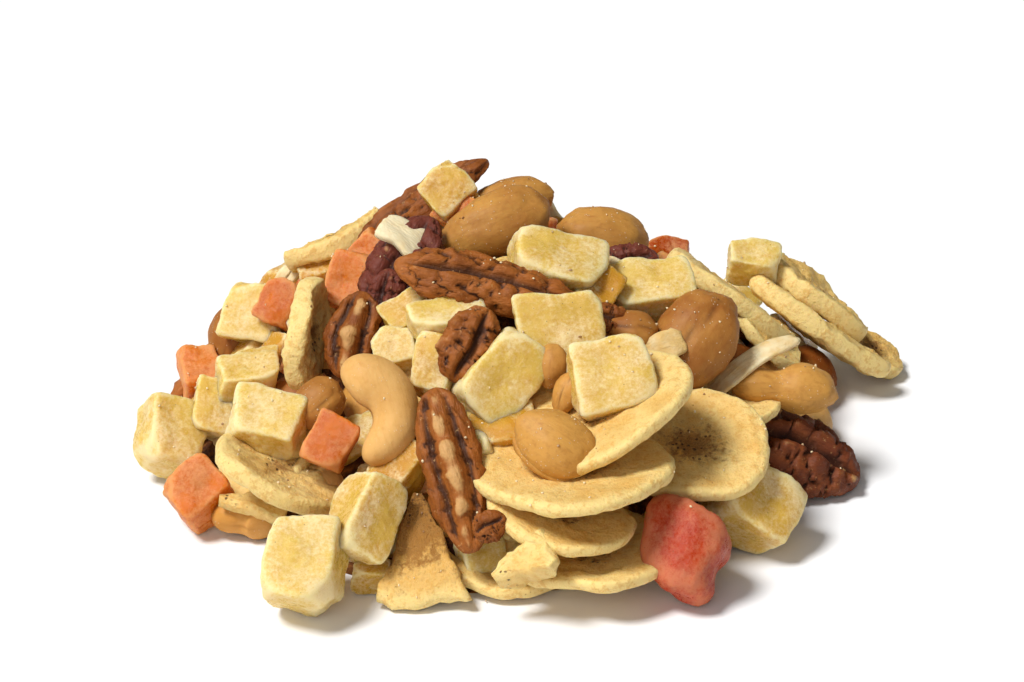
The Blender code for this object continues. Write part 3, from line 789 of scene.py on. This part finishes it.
@dataclass
class Placed:
    """One finished piece in its place, with what its finish needs to know."""

    food: Food
    bm: bmesh.types.BMesh
    own: list[Vector]
    fold: list[float]
    tone: float
    number: int

    def turn(self, turned: Matrix) -> None:
        """Turn it about its own middle."""
        bmesh.ops.transform(self.bm, matrix=turned.to_4x4(), verts=self.bm.verts)

    def lowest(self) -> float:
        """Height of its lowest point."""
        return min(vert.co.z for vert in self.bm.verts)

    def move(self, place: Vector) -> None:
        """Bring it to its place, and up where it would reach below the floor gap."""
        bmesh.ops.translate(self.bm, verts=self.bm.verts, vec=place)
        short = FLOOR_GAP - self.lowest()
        if short > 0:
            bmesh.ops.translate(self.bm, verts=self.bm.verts, vec=(0, 0, short))


def turned(*turns: tuple[str, float]) -> Matrix:
    """Turns about one axis after another, each an axis and an angle, the last one first."""
    whole = Matrix.Identity(3)
    for axis, angle in turns:
        whole = whole @ Matrix.Rotation(angle, 3, axis)
    return whole


@dataclass(frozen=True)
class HeapLayout:
    """Lays out every piece of the heap."""

    mound: Mound = Mound()
    view: FrontView = FrontView()
    waist_place: float = -0.08
    waist_width: float = 0.15
    grow: tuple[float, float] = (0.9, 1.1)

    def shaped(self, food: Food, size: Vector, number: int, tone: float, fine: bool, waist: float = 0) -> Placed:
        """Piece about its own middle.

        Args:
            food: what it is.
            size: length, width and thickness in millimetres.
            number: its own number, which seeds its shape.
            tone: its shade.
            fine: whether the front view shows it.
            waist: how far its middle is drawn in.

        Returns:
            The piece, not yet in its place.
        """
        bm = KINDS[food].shape(fine=fine).mesh(size * MM, random.Random(number))
        for vert in bm.verts:
            narrow = 1 - waist * bell(vert.co.x / (size.x * MM) - self.waist_place, self.waist_width)
            vert.co = (vert.co.x, vert.co.y * narrow, vert.co.z * narrow)
        fold = bm.verts.layers.float["fold"]
        own = [vert.co / MM for vert in bm.verts]
        return Placed(food, bm, own, [vert[fold] for vert in bm.verts], tone, number)

    def front(self) -> Iterator[Placed]:
        """Pieces and bits of the front, each where the view shows it."""
        for number, piece in [*enumerate(PIECES), *enumerate(BITS, BITS_FROM)]:
            made = self.shaped(piece.food, Vector(piece.size), number, piece.tone, True, piece.waist)
            made.turn(self.view.axes() @ turned(*zip("ZYX", map(math.radians, piece.angles))))
            if piece.lift is GROUND:
                made.move(self.view.on_floor(piece.at, FLOOR_GAP - made.lowest()))
            else:
                made.move(self.view.on_mound(piece.at, self.mound, piece.lift * MM))
            yield made

    def facing(self, x: float, y: float) -> float:
        """How squarely the mound faces the viewer at a spot: 0 at the back, 1 at the front."""
        facing = self.mound.normal(x, y).dot(self.view.axes().col[2])
        return min(max((facing - BACK_FACING) / (FRONT_FACING - BACK_FACING), 0), 1)

    def scattered(self) -> Iterator[Placed]:
        """Pieces scattered over the mound, sunk under the laid-out ones at the front."""
        rng = random.Random(SCATTER_SEED)
        kinds = [row[:2] for row in SCATTER_MIX for _ in range(row[2])]
        for number in range(SCATTER_COUNT):
            foods, size = rng.choice(kinds)
            spread = math.sqrt((number + 0.5) / SCATTER_COUNT)
            reach = self.mound.reach(number * GOLDEN_ANGLE) * spread
            cover = self.facing(self.mound.peak + reach.x, reach.y)
            pull = 1 - FRONT_PULL * cover
            x, y = self.mound.peak + reach.x * pull, reach.y * pull
            grow = rng.uniform(*self.grow) * (1 - (1 - FRONT_SHRINK) * cover)
            leans = [math.radians(rng.uniform(-SCATTER_LEAN, SCATTER_LEAN)) for _ in range(2)]
            spin = rng.uniform(0, 2 * math.pi)
            normal = self.mound.normal(x, y)
            tone = random.Random(number + TONE_SEED).random()
            made = self.shaped(foods[number % len(foods)], Vector(size) * grow, len(PIECES) + number, tone, False)
            upright = normal.to_track_quat("Z", "Y").to_matrix()
            made.turn(upright @ turned(("X", leans[0]), ("Y", leans[1]), ("Z", spin)))
            made.move(Vector((x, y, self.mound.top(x, y))) - normal * blend(cover, SINK_BACK, SINK_FRONT))
            yield made


class Value:
    """A socket of a material that takes Python's arithmetic."""

    def __init__(self, recipe: "Recipe", socket: bpy.types.NodeSocket) -> None:
        """Wrap a socket of a recipe."""
        self.recipe = recipe
        self.socket = socket

    def __add__(self, other: "Value | float") -> "Value":
        """Sum."""
        return self.recipe.maths("ADD", self, other)

    def __sub__(self, other: "Value | float") -> "Value":
        """Difference."""
        return self.recipe.maths("SUBTRACT", self, other)

    def __rsub__(self, other: "Value | float") -> "Value":
        """Difference the other way round."""
        return self.recipe.maths("SUBTRACT", other, self)

    def __mul__(self, other: "Value | float") -> "Value":
        """Product."""
        return self.recipe.maths("MULTIPLY", self, other)

    __radd__ = __add__
    __rmul__ = __mul__


def colour(code: str) -> tuple[float, ...]:
    """Linear colour and full cover of a six-figure screen colour.

    Args:
        code: red, green and blue, two hexadecimal figures each.

    Returns:
        The colour.
    """
    parts = [int(code[at:at + 2], 16) / 255 for at in (0, 2, 4)]
    return *(part / 12.92 if part <= 0.04045 else ((part + 0.055) / 1.055) ** 2.4 for part in parts), 1


class Recipe:
    """A material in the making."""

    def __init__(self, name: str) -> None:
        """Start a material with one plain shader."""
        self.material = bpy.data.materials.new(name)
        self.material.use_nodes = True
        self.nodes = self.material.node_tree.nodes
        self.links = self.material.node_tree.links
        self.shader = self.nodes["Principled BSDF"]

    def feed(self, socket: bpy.types.NodeSocket, value: "Value | float | str | tuple[float, ...]") -> None:
        """Link a value to a socket, or set it there. A string is a colour."""
        if isinstance(value, Value):
            self.links.new(value.socket, socket)
        else:
            socket.default_value = colour(value) if isinstance(value, str) else value

    def node(self, kind: str, output: int | str, values: dict, **settings: str) -> Value:
        """Add a node.

        Args:
            kind: the node's type, without the words that all types begin with.
            output: the output that is asked for, by name or place.
            values: numbers, colours or links of its sockets, by name or place.
            settings: its own settings.

        Returns:
            The output.
        """
        made = self.nodes.new("ShaderNode" + kind)
        for name, setting in settings.items():
            setattr(made, name, setting)
        for name, value in values.items():
            self.feed(made.inputs[name], value)
        return Value(self, made.outputs[output])

    def maths(self, operation: str, first: "Value | float", second: "Value | float") -> Value:
        """Arithmetic on two numbers."""
        return self.node("Math", 0, {0: first, 1: second}, operation=operation)

    def stored(self, name: str, output: str) -> Value:
        """What the points of the mesh hold under a name."""
        return self.node("Attribute", output, {}, attribute_name=name)

    def stretched(self, where: Value, stretch: tuple[float, float, float]) -> Value:
        """Place with each direction scaled, for grain that runs one way."""
        return self.node("VectorMath", 0, {0: where, 1: stretch}, operation="MULTIPLY")

    def spot(self) -> Value:
        """Place on the piece in millimetres, moved on for each piece so that no two look alike."""
        shift = self.stretched(self.stored("tint", "Vector"), (TINT_SHIFT,) * 3)
        return self.node("VectorMath", 0, {0: self.stored("own", "Vector"), 1: shift}, operation="ADD")

    def tone(self) -> Value:
        """The piece's shade."""
        return self.node("SeparateXYZ", 0, {0: self.stored("tint", "Vector")})

    def whole(self) -> Value:
        """Place on the object, for a thing that isn't made of pieces."""
        return self.node("TexCoord", "Object", {})

    def noise(self, where: Value, scale: float, detail: float = 3, rough: float = 0.55) -> Value:
        """Cloudy pattern from 0 to 1.

        Args:
            where: place to read it at.
            scale: clouds to each unit of the place.
            detail: finer layers.
            rough: weight of the finer layers.

        Returns:
            The pattern.
        """
        return self.node("TexNoise", 0, {"Vector": where, "Scale": scale, "Detail": detail, "Roughness": rough})

    def grains(self, where: Value, scale: float) -> Value:
        """Distance to the middle of the nearest grain."""
        return self.node("TexVoronoi", "Distance", {"Vector": where, "Scale": scale})

    def rise(self, value: Value, low: "Value | float", high: "Value | float") -> Value:
        """Smooth rise from 0 where the value is low to 1 where it is high."""
        return self.node("MapRange", 0, {0: value, 1: low, 2: high}, interpolation_type="SMOOTHSTEP")

    def mix(self, share: "Value | float", low: "Value | str", high: "Value | str") -> Value:
        """Colour a share of the way from low to high."""
        return self.node("Mix", 2, {0: share, 6: low, 7: high}, data_type="RGBA")

    def cover(self, base: "Value | str", value: Value, low: float, high: float, most: float, over: str) -> Value:
        """Lay a colour over another where a value rises.

        Args:
            base: the colour below.
            value: what rises.
            low: where the upper colour starts.
            high: where it is strongest.
            most: its strongest share.
            over: the upper colour.

        Returns:
            The two together.
        """
        return self.mix(self.rise(value, low, high) * most, base, over)

    def finish(self, base: Value, rough: "Value | float", height: Value, depth: float, sheen: float = 0.2,
               glow: tuple = ()) -> bpy.types.Material:
        """Wire the shader.

        Args:
            base: its colour.
            rough: its roughness.
            height: relief from 0 to 1.
            depth: how high the relief stands, in metres.
            sheen: how strongly it mirrors the light.
            glow: share of light that goes in, how far it reaches, and that reach for red, green and blue.

        Returns:
            The finished material.
        """
        bump = self.node("Bump", 0, {"Strength": 1.0, "Distance": depth, "Height": height})
        sockets = {"Base Color": base, "Roughness": rough, "Specular IOR Level": sheen, "Normal": bump}
        for name, value in [*sockets.items(), *zip(GLOW_SOCKETS, glow)]:
            self.feed(self.shader.inputs[name], value)
        return self.material


@dataclass(frozen=True)
class Finish:
    """How the pieces of one food look."""

    name: str

    def material(self) -> bpy.types.Material:
        """Build the material."""
        recipe = Recipe(self.name)
        return self.paint(recipe, recipe.spot(), recipe.tone(), recipe.stored("fold", "Fac"))

    def paint(self, recipe: Recipe, spot: Value, tone: Value, fold: Value) -> bpy.types.Material:
        """Lay on the colours.

        Args:
            recipe: the material in the making.
            spot: place on the piece in millimetres.
            tone: the piece's shade.
            fold: how deep in a fold a point lies, or how far out on a slice of banana.

        Returns:
            The finished material.
        """
        raise NotImplementedError


@dataclass(frozen=True)
class CandiedFinish(Finish):
    """Candied fruit: clear flesh under a broken crust of fine sugar."""

    pale: str
    deep: str
    crust: str
    crust_share: float
    glow: tuple[float, float, float]
    clear: float
    speck: str = "6B4A1C"

    def paint(self, recipe: Recipe, spot: Value, tone: Value, fold: Value) -> bpy.types.Material:
        """Flesh, fibres, sugar and a few specks."""
        cloud = recipe.noise(spot, 0.17)
        fibre = recipe.noise(recipe.stretched(spot, (0.6, 1.2, 1.2)), 0.45, 4)
        sugar = recipe.noise(spot, 1.3, 5, 0.78)
        flesh = recipe.cover(self.pale, tone + (cloud - 0.5) * 0.9 - fold * 0.4, 0, 1, 1, self.deep)
        flesh = recipe.cover(flesh, fibre, 0.45, 0.75, 0.3, self.deep)
        frost = recipe.rise(cloud * 0.7 + sugar * 0.8 - tone * 0.12 + fold * 0.4, 0.62, 0.94)
        base = recipe.mix(frost * self.crust_share, flesh, self.crust)
        base = recipe.cover(base, recipe.grains(spot, 0.5), 0.07, 0.04, 0.6, self.speck)
        height = sugar * 0.6 + fibre * 0.4
        return recipe.finish(base, 0.26 + frost * 0.4, height, 0.3 * MM, 0.3, (self.clear, 4 * MM, self.glow))


@dataclass(frozen=True)
class PecanFinish(Finish):
    """Pecan skin, finely wrinkled along its length, with a painted highlight on the ridges and painted shade in the
    folds.
    """

    light: str = "A66024"
    middle: str = "6E360D"
    dark: str = "220902"
    mauve: str = "70342A"
    pith_and_highlight: str = "D2A468"

    def paint(self, recipe: Recipe, spot: Value, tone: Value, fold: Value) -> bpy.types.Material:
        """Clouded skin, painted shade in the folds, the pale rib, a painted highlight on the ridge tops, and scuffs.
        """
        cloud = recipe.noise(spot, 0.22, 4)
        streak = recipe.noise(recipe.stretched(spot, (0.3, 1.4, 1.4)), 1.2, 4, 0.6)
        skin = recipe.cover(self.light, cloud + tone * 0.6 - 0.3, 0.15, 0.85, 1, self.middle)
        skin = recipe.cover(skin, tone, 0.62, 0.9, 0.8, self.mauve)
        skin = recipe.cover(skin, streak, 0.48, 0.75, 0.3, self.dark)
        # Painted shade in the grooves, creases and troughs
        skin = recipe.cover(skin, fold, 0.3, 1, 0.85, self.dark)
        # The pale rib's own colour, and a painted highlight on the swelling ridge tops
        skin = recipe.cover(skin, fold + (cloud - 0.5) * 1.6, -0.25, -0.85, 0.8, self.pith_and_highlight)
        skin = recipe.cover(skin, recipe.noise(spot, 1.1, 4, 0.7), 0.6, 0.72, 0.5, self.pith_and_highlight)
        height = streak * 0.7 + recipe.noise(spot, 1.6, 4) * 0.3
        return recipe.finish(skin, 0.38 + streak * 0.25, height, 0.5 * MM, 0.25, (0.05, 1 * MM, (1, 0.4, 0.2)))


@dataclass(frozen=True)
class RoastedFinish(Finish):
    """Smooth roasted nut, browner where it lay hottest, with grains of salt."""

    light: str
    dark: str
    seam: str
    salt_share: float
    rough: float = 0.42
    salt: str = "F4E3C3"

    def paint(self, recipe: Recipe, spot: Value, tone: Value, fold: Value) -> bpy.types.Material:
        """Clouded, mottled and veined skin, the seam and the salt."""
        cloud = recipe.noise(spot, 0.13)
        mottle = recipe.noise(spot, 0.8, 4, 0.6)
        vein = recipe.noise(recipe.stretched(spot, (0.25, 1.3, 1.3)), 0.9, 4, 0.6)
        skin = recipe.cover(self.light, tone * 0.9 + (cloud - 0.5) * 0.9, 0, 1, 1, self.dark)
        skin = recipe.cover(skin, mottle, 0.45, 0.75, 0.25, self.dark)
        skin = recipe.cover(skin, vein, 0.5, 0.75, 0.25, self.dark)
        skin = recipe.cover(skin, fold, 0.2, 1, 0.6, self.seam)
        grain = recipe.rise(recipe.grains(spot, 1.5), 0.22, 0.12) * recipe.rise(recipe.noise(spot, 0.5, 2), 0.46, 0.6)
        salt = grain * self.salt_share
        height = mottle * 0.4 + vein * 0.5 + salt * 0.8
        return recipe.finish(recipe.mix(salt, skin, self.salt), self.rough + mottle * 0.2, height, 0.22 * MM,
                             glow=(0.15, 1.5 * MM, (1, 0.5, 0.2)))


@dataclass(frozen=True)
class BananaFinish(Finish):
    """Fried banana: cream rim, golden crackled face, and a brown middle with dark seeds."""

    cream: str = "EFD38A"
    gold: str = "D2983A"
    brown: str = "98601F"
    seed: str = "3E1F08"

    def paint(self, recipe: Recipe, spot: Value, tone: Value, fold: Value) -> bpy.types.Material:
        """Golden face, brown ring, dark middle, seeds and a few spots."""
        cloud = recipe.noise(spot, 0.15)
        crackle = recipe.noise(spot, 0.7, 5, 0.65)
        fine = recipe.noise(spot, 2, 4, 0.65)
        face = recipe.rise(fold, 0.99, 0.84) * recipe.rise(cloud + tone * 0.3, 0.35, 0.95)
        base = recipe.mix(face * 0.6, self.cream, self.gold)
        base = recipe.cover(base, crackle + (fine - 0.5) * 0.5, 0.48, 0.66, 0.5, self.gold)
        rim = tone * 0.62
        ring = recipe.rise(fold + (crackle - 0.5) * 1.1 + (cloud - 0.5) * 0.5, rim, rim - 0.3)
        base = recipe.mix(ring * 0.8, base, self.brown)
        core = recipe.rise(fold + (fine - 0.5) * 1.6, 0.26, 0.12) * tone
        base = recipe.mix(core * 0.35, base, self.seed)
        seeds = recipe.rise(recipe.grains(spot, 0.8), 0.26, 0.16) * recipe.rise(fold, 0.42, 0.25)
        base = recipe.mix(seeds * 0.85, base, self.seed)
        base = recipe.cover(base, recipe.grains(spot, 0.45), 0.09, 0.05, 0.55, self.brown)
        height = crackle + fine * 0.45 - seeds * 0.4 + ring * (fine - 0.5)
        return recipe.finish(base, 0.42 + crackle * 0.2, height, 0.42 * MM, 0.3, (0.3, 1.6 * MM, (1, 0.72, 0.3)))


@dataclass(frozen=True)
class CoconutFinish(Finish):
    """Dried coconut: off-white, finely fibrous, a little tanned in places."""

    white: str = "EFE0B8"
    tan: str = "DDB874"

    def paint(self, recipe: Recipe, spot: Value, tone: Value, fold: Value) -> bpy.types.Material:
        """Tanned patches and fibres."""
        fibre = recipe.noise(recipe.stretched(spot, (0.4, 2, 2)), 1.4, 4)
        base = recipe.cover(self.white, recipe.noise(spot, 0.3, 2) + tone * 0.4, 0.45, 0.95, 1, self.tan)
        base = recipe.cover(base, fibre, 0.5, 0.8, 0.3, self.tan)
        return recipe.finish(base, 0.62, fibre, 0.3 * MM, glow=(0.3, 1.5 * MM, (1, 0.85, 0.6)))


@dataclass(frozen=True)
class CrumbFinish(Finish):
    """Mixed crumbs: sugar, coconut, and bits of nut skin."""

    pale: str = "F0DDB4"
    dark: str = "92561E"

    def paint(self, recipe: Recipe, spot: Value, tone: Value, fold: Value) -> bpy.types.Material:
        """Each crumb in its own shade."""
        grain = recipe.noise(spot, 2)
        base = recipe.cover(self.pale, tone + (grain - 0.5) * 0.3, 0.5, 1.1, 1, self.dark)
        return recipe.finish(base, 0.5 + grain * 0.2, grain, 0.1 * MM)


@dataclass(frozen=True)
class PaintedShadeFinish(Finish):
    """Painted shade for the inside of the heap: crumbs coloured dark brown, as the shaded gaps between the pieces
    look.
    """

    dark: str = "3F1D0B"
    light: str = "8A5523"

    def material(self) -> bpy.types.Material:
        """Build the material."""
        recipe = Recipe(self.name)
        # Dark brown with lighter brown crumbs: painted shade for the gaps between the pieces
        crumb = recipe.noise(recipe.whole(), 420, 5, 0.65)
        return recipe.finish(recipe.cover(self.dark, crumb, 0.4, 0.72, 1, self.light), 0.85, crumb, 1.2 * MM)


@dataclass(frozen=True)
class Kind:
    """How one food is shaped and finished, and the name of its material slot."""

    shape: type[Shape]
    finish: Finish
    slot: str


KINDS = {
    Food.PINEAPPLE: Kind(FruitDie, CandiedFinish(
        "pineapple_flesh", "DCBA5C", "C48A20", "F2E0B0", 0.75, (1, 0.8, 0.32), 0.6), "pineapple"),
    Food.PAPAYA: Kind(FruitDie, CandiedFinish(
        "papaya_flesh", "D4741C", "A84202", "EAB47C", 0.5, (1, 0.42, 0.08), 0.45), "papaya"),
    Food.RED_PAPAYA: Kind(FruitLump, CandiedFinish(
        "red_papaya_flesh", "C0480C", "A22202", "EAB488", 0.3, (1, 0.26, 0.05), 0.35), "papaya"),
    Food.PECAN: Kind(PecanHalf, PecanFinish("pecan_skin"), "pecan"),
    Food.CASHEW: Kind(CashewCurve, RoastedFinish("cashew_skin", "E2B26C", "BE8030", "9A5E1E", 0.4), "cashew"),
    Food.NUT: Kind(PlumpNut, RoastedFinish("nut_skin", "CA9448", "824010", "4A2006", 0.6), "roasted_nut"),
    Food.CHIP: Kind(BananaSlice, BananaFinish("banana_flesh"), "banana_chip"),
    Food.SLAB: Kind(BananaSlab, BananaFinish("banana_slab"), "banana_chip"),
    Food.SHARD: Kind(BananaShard, BananaFinish("banana_shard"), "banana_chip"),
    Food.COCONUT: Kind(CoconutShaving, CoconutFinish("coconut_flesh"), "coconut"),
    Food.CRUMB: Kind(Crumb, CrumbFinish("crumb_mix"), "roasted_nut"),
}


def add_piece(name: str, bm: bmesh.types.BMesh, material: bpy.types.Material, slot: str) -> bpy.types.Object:
    """Turn a mesh in the making into a piece of the model.

    Args:
        name: the piece's name.
        bm: its mesh, which is used up.
        material: its finish.
        slot: the name of its material slot, which is not used.

    Returns:
        The piece, riding on the heap.
    """
    mesh = bpy.data.meshes.new(name)
    bm.to_mesh(mesh)
    bm.free()
    mesh.shade_smooth()
    mesh.materials.append(material)
    made = add_object(name, mesh)
    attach(made, "root")
    LOG.info("%s: %d faces", name, len(mesh.polygons))
    return made


@dataclass
class FoodGroup:
    """All the pieces of one food, joined into one object."""

    food: Food
    pieces: list[Placed] = field(default_factory=list)

    def build(self) -> bpy.types.Object:
        """Join the pieces and dress them."""
        joined = bmesh.new()
        own: list[float] = []
        fold: list[float] = []
        tint: list[float] = []
        for piece in self.pieces:
            chance = random.Random(piece.number + TINT_SEED)
            tints = (piece.tone, chance.random(), chance.random())
            for spot in piece.own:
                own.extend(spot)
            fold.extend(piece.fold)
            tint.extend(tints * len(piece.own))
            layer = piece.bm.verts.layers.float["fold"]
            piece.bm.verts.layers.float.remove(layer)
            single = bpy.data.meshes.new("single")
            piece.bm.to_mesh(single)
            piece.bm.free()
            joined.from_mesh(single)
            bpy.data.meshes.remove(single)
        kind = KINDS[self.food]
        made = add_piece(self.food.value, joined, kind.finish.material(), kind.slot)
        self.write(made.data, "own", "FLOAT_VECTOR", "vector", own)
        self.write(made.data, "tint", "FLOAT_VECTOR", "vector", tint)
        self.write(made.data, "fold", "FLOAT", "value", fold)
        return made

    def write(self, mesh: bpy.types.Mesh, name: str, kind: str, part: str, numbers: list[float]) -> None:
        """Store numbers on the points of a mesh.

        Args:
            mesh: where they go.
            name: what they are called.
            kind: the attribute's type.
            part: the property that holds them.
            numbers: one after another.
        """
        mesh.attributes.new(name, kind, "POINT").data.foreach_set(part, numbers)


@dataclass(frozen=True)
class CrumbFall:
    """Crumbs that have settled on the heap, and a few on the floor in front of it."""

    layout: HeapLayout
    count: int = 500
    first: int = 2000
    sizes: tuple[float, float] = (0.2, 0.6)
    steepest: float = 0.25
    sink: float = 0.15
    fall_from: float = 100 * MM
    floor_spots: tuple[tuple[float, float], ...] = (
        (365, 592), (372, 586), (384, 600), (430, 604), (486, 603), (497, 598), (714, 590), (786, 492), (152, 474))

    def crumb(self, number: int, place: Vector, away: Vector) -> Placed:
        """One crumb.

        Args:
            number: its own number, which seeds its size and tone.
            place: where it lies.
            away: the direction in which it lies on its base.

        Returns:
            The crumb in its place.
        """
        rng = random.Random(number)
        size = Vector(rng.uniform(*self.sizes) for _ in range(3))
        made = self.layout.shaped(Food.CRUMB, size, number, rng.random(), False)
        made.move(place + away * (0.5 - self.sink) * min(size) * MM)
        return made

    def settled(self, carriers: list[bpy.types.Object]) -> Iterator[Placed]:
        """Crumbs where they come to rest.

        Args:
            carriers: the pieces of the heap that may carry them.

        Yields:
            The crumbs in their places.
        """
        seen = bpy.context.evaluated_depsgraph_get()
        trees = [BVHTree.FromObject(carrier, seen) for carrier in carriers]
        rng = random.Random(self.first)
        for number in range(self.first, self.first + self.count):
            spread = math.sqrt(rng.random())
            reach = self.layout.mound.reach(rng.uniform(0, 2 * math.pi)) * spread
            start = Vector((self.layout.mound.peak + reach.x, reach.y, self.fall_from))
            hits = [hit for tree in trees if (hit := tree.ray_cast(start, Vector((0, 0, -1))))[0] is not None]
            place, away = max(hits, key=lambda hit: hit[0].z)[:2] if hits else (None, None)
            if place is not None and away.z > self.steepest:
                yield self.crumb(number, place, away)
        for number, spot in enumerate(self.floor_spots, self.first + self.count):
            yield self.crumb(number, self.layout.view.on_floor(spot, 0), Vector((0, 0, 1)))


@dataclass(frozen=True)
class PackedCore:
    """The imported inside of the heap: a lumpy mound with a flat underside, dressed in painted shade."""

    mound: Mound
    share: float = 0.86
    height: float = 38.5 * MM
    least_height: float = 0.2 * MM
    sides: int = 120
    rings: int = 60
    lump: float = 1.1 * MM
    lumps: float = 9

    def build(self) -> bpy.types.Object:
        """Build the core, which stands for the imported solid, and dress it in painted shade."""
        bm = bmesh.new()
        bmesh.ops.create_uvsphere(bm, u_segments=self.sides, v_segments=self.rings, radius=1)
        bmesh.ops.bisect_plane(bm, geom=bm.verts[:] + bm.edges[:] + bm.faces[:], dist=TINY,
                               plane_co=(0, 0, 0), plane_no=(0, 0, 1), clear_inner=True)
        for vert in bm.verts:
            out = math.hypot(vert.co.x, vert.co.y)
            above = vert.co.z > TINY
            reach = self.mound.reach(math.atan2(vert.co.y, vert.co.x)) * self.share * out
            rough = noise.fractal(vert.co * self.lumps, 0.9, 2.0, 3)
            top = self.height * (1 - out ** self.mound.power) + self.lump * rough
            vert.co = (self.mound.peak + reach.x, reach.y, max(top, self.least_height) if above else 0)
        bmesh.ops.contextual_create(bm, geom=[edge for edge in bm.edges if edge.is_boundary])
        bmesh.ops.recalc_face_normals(bm, faces=bm.faces)
        # Its dark brown finish is painted shade for the gaps between the pieces
        made = add_piece("packed_core", bm, PaintedShadeFinish("painted_shade_crumbs").material(), "packed_mix")
        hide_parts(NODE)
        return made


@dataclass(frozen=True)
class Studio:
    """Plain pale floor and soft light from the upper left."""

    view: FrontView
    floor_half: float = 3
    floor_tones: tuple[float, float] = (0.94, 0.94 * 0.985)
    sky: float = 0.14
    key: float = 3.45
    key_from: tuple[float, float, float] = (-0.46, -0.2, 0.86)
    key_spread: float = math.radians(18)
    fill: float = 2.6
    fill_place: tuple[float, float, float] = (-0.25, -0.9, 0.5)
    fill_size: float = 0.8

    def floor(self) -> bpy.types.Object:
        """Floor, which is no part of the object."""
        bm = bmesh.new()
        bmesh.ops.create_grid(bm, x_segments=1, y_segments=1, size=self.floor_half)
        mesh = bpy.data.meshes.new("floor")
        bm.to_mesh(mesh)
        bm.free()
        recipe = Recipe("floor_paint")
        place = recipe.whole()
        base = recipe.mix(recipe.noise(place, 3, 2), *((tone, tone, tone, 1) for tone in self.floor_tones))
        mesh.materials.append(recipe.finish(base, 0.7, recipe.noise(place, 200, 2), 0.02 * MM))
        made = add_object("floor", mesh)
        return made

    def light(self, name: str, kind: str, power: float, away: Vector, **settings: float | str) -> bpy.types.Object:
        """One light.

        Args:
            name: what it is called.
            kind: its type.
            power: how bright it is.
            away: the direction that it comes from.
            settings: its other settings.

        Returns:
            The light, at the origin.
        """
        light = bpy.data.lights.new(name, kind)
        light.energy = power
        for setting, value in settings.items():
            setattr(light, setting, value)
        made = add_object(name, light)
        made.rotation_euler = away.to_track_quat("Z", "Y").to_euler()
        return made

    def build(self) -> None:
        """Set the floor, the lights, the sky and the camera."""
        self.floor()
        self.light("key", "SUN", self.key, Vector(self.key_from), angle=self.key_spread)
        place = Vector(self.fill_place)
        away = place - Vector(self.view.target)
        self.light("fill", "AREA", self.fill, away, shape="DISK", size=self.fill_size).location = place
        world = bpy.data.worlds.new("studio")
        bpy.context.scene.world = world
        world.use_nodes = True
        sky = world.node_tree.nodes["Background"]
        sky.inputs["Color"].default_value = (1, 1, 1, 1)
        sky.inputs["Strength"].default_value = self.sky
        bpy.context.scene.view_settings.view_transform = "Standard"
        self.view.add_camera()


def main() -> None:
    """Build the heap, food by food, and the studio round it."""
    logging.basicConfig(level=logging.INFO, format="%(message)s")
    noise.seed_set(NOISE_SEED)
    layout = HeapLayout()
    groups = {food: FoodGroup(food) for food in Food}
    for piece in [*layout.front(), *layout.scattered()]:
        groups[piece.food].pieces.append(piece)
    PackedCore(layout.mound).build()
    carriers = [group.build() for group in groups.values() if group.pieces]
    groups[Food.CRUMB].pieces.extend(CrumbFall(layout).settled(carriers))
    groups[Food.CRUMB].build()
    Studio(layout.view).build()


if __name__ == "__main__":
    main()
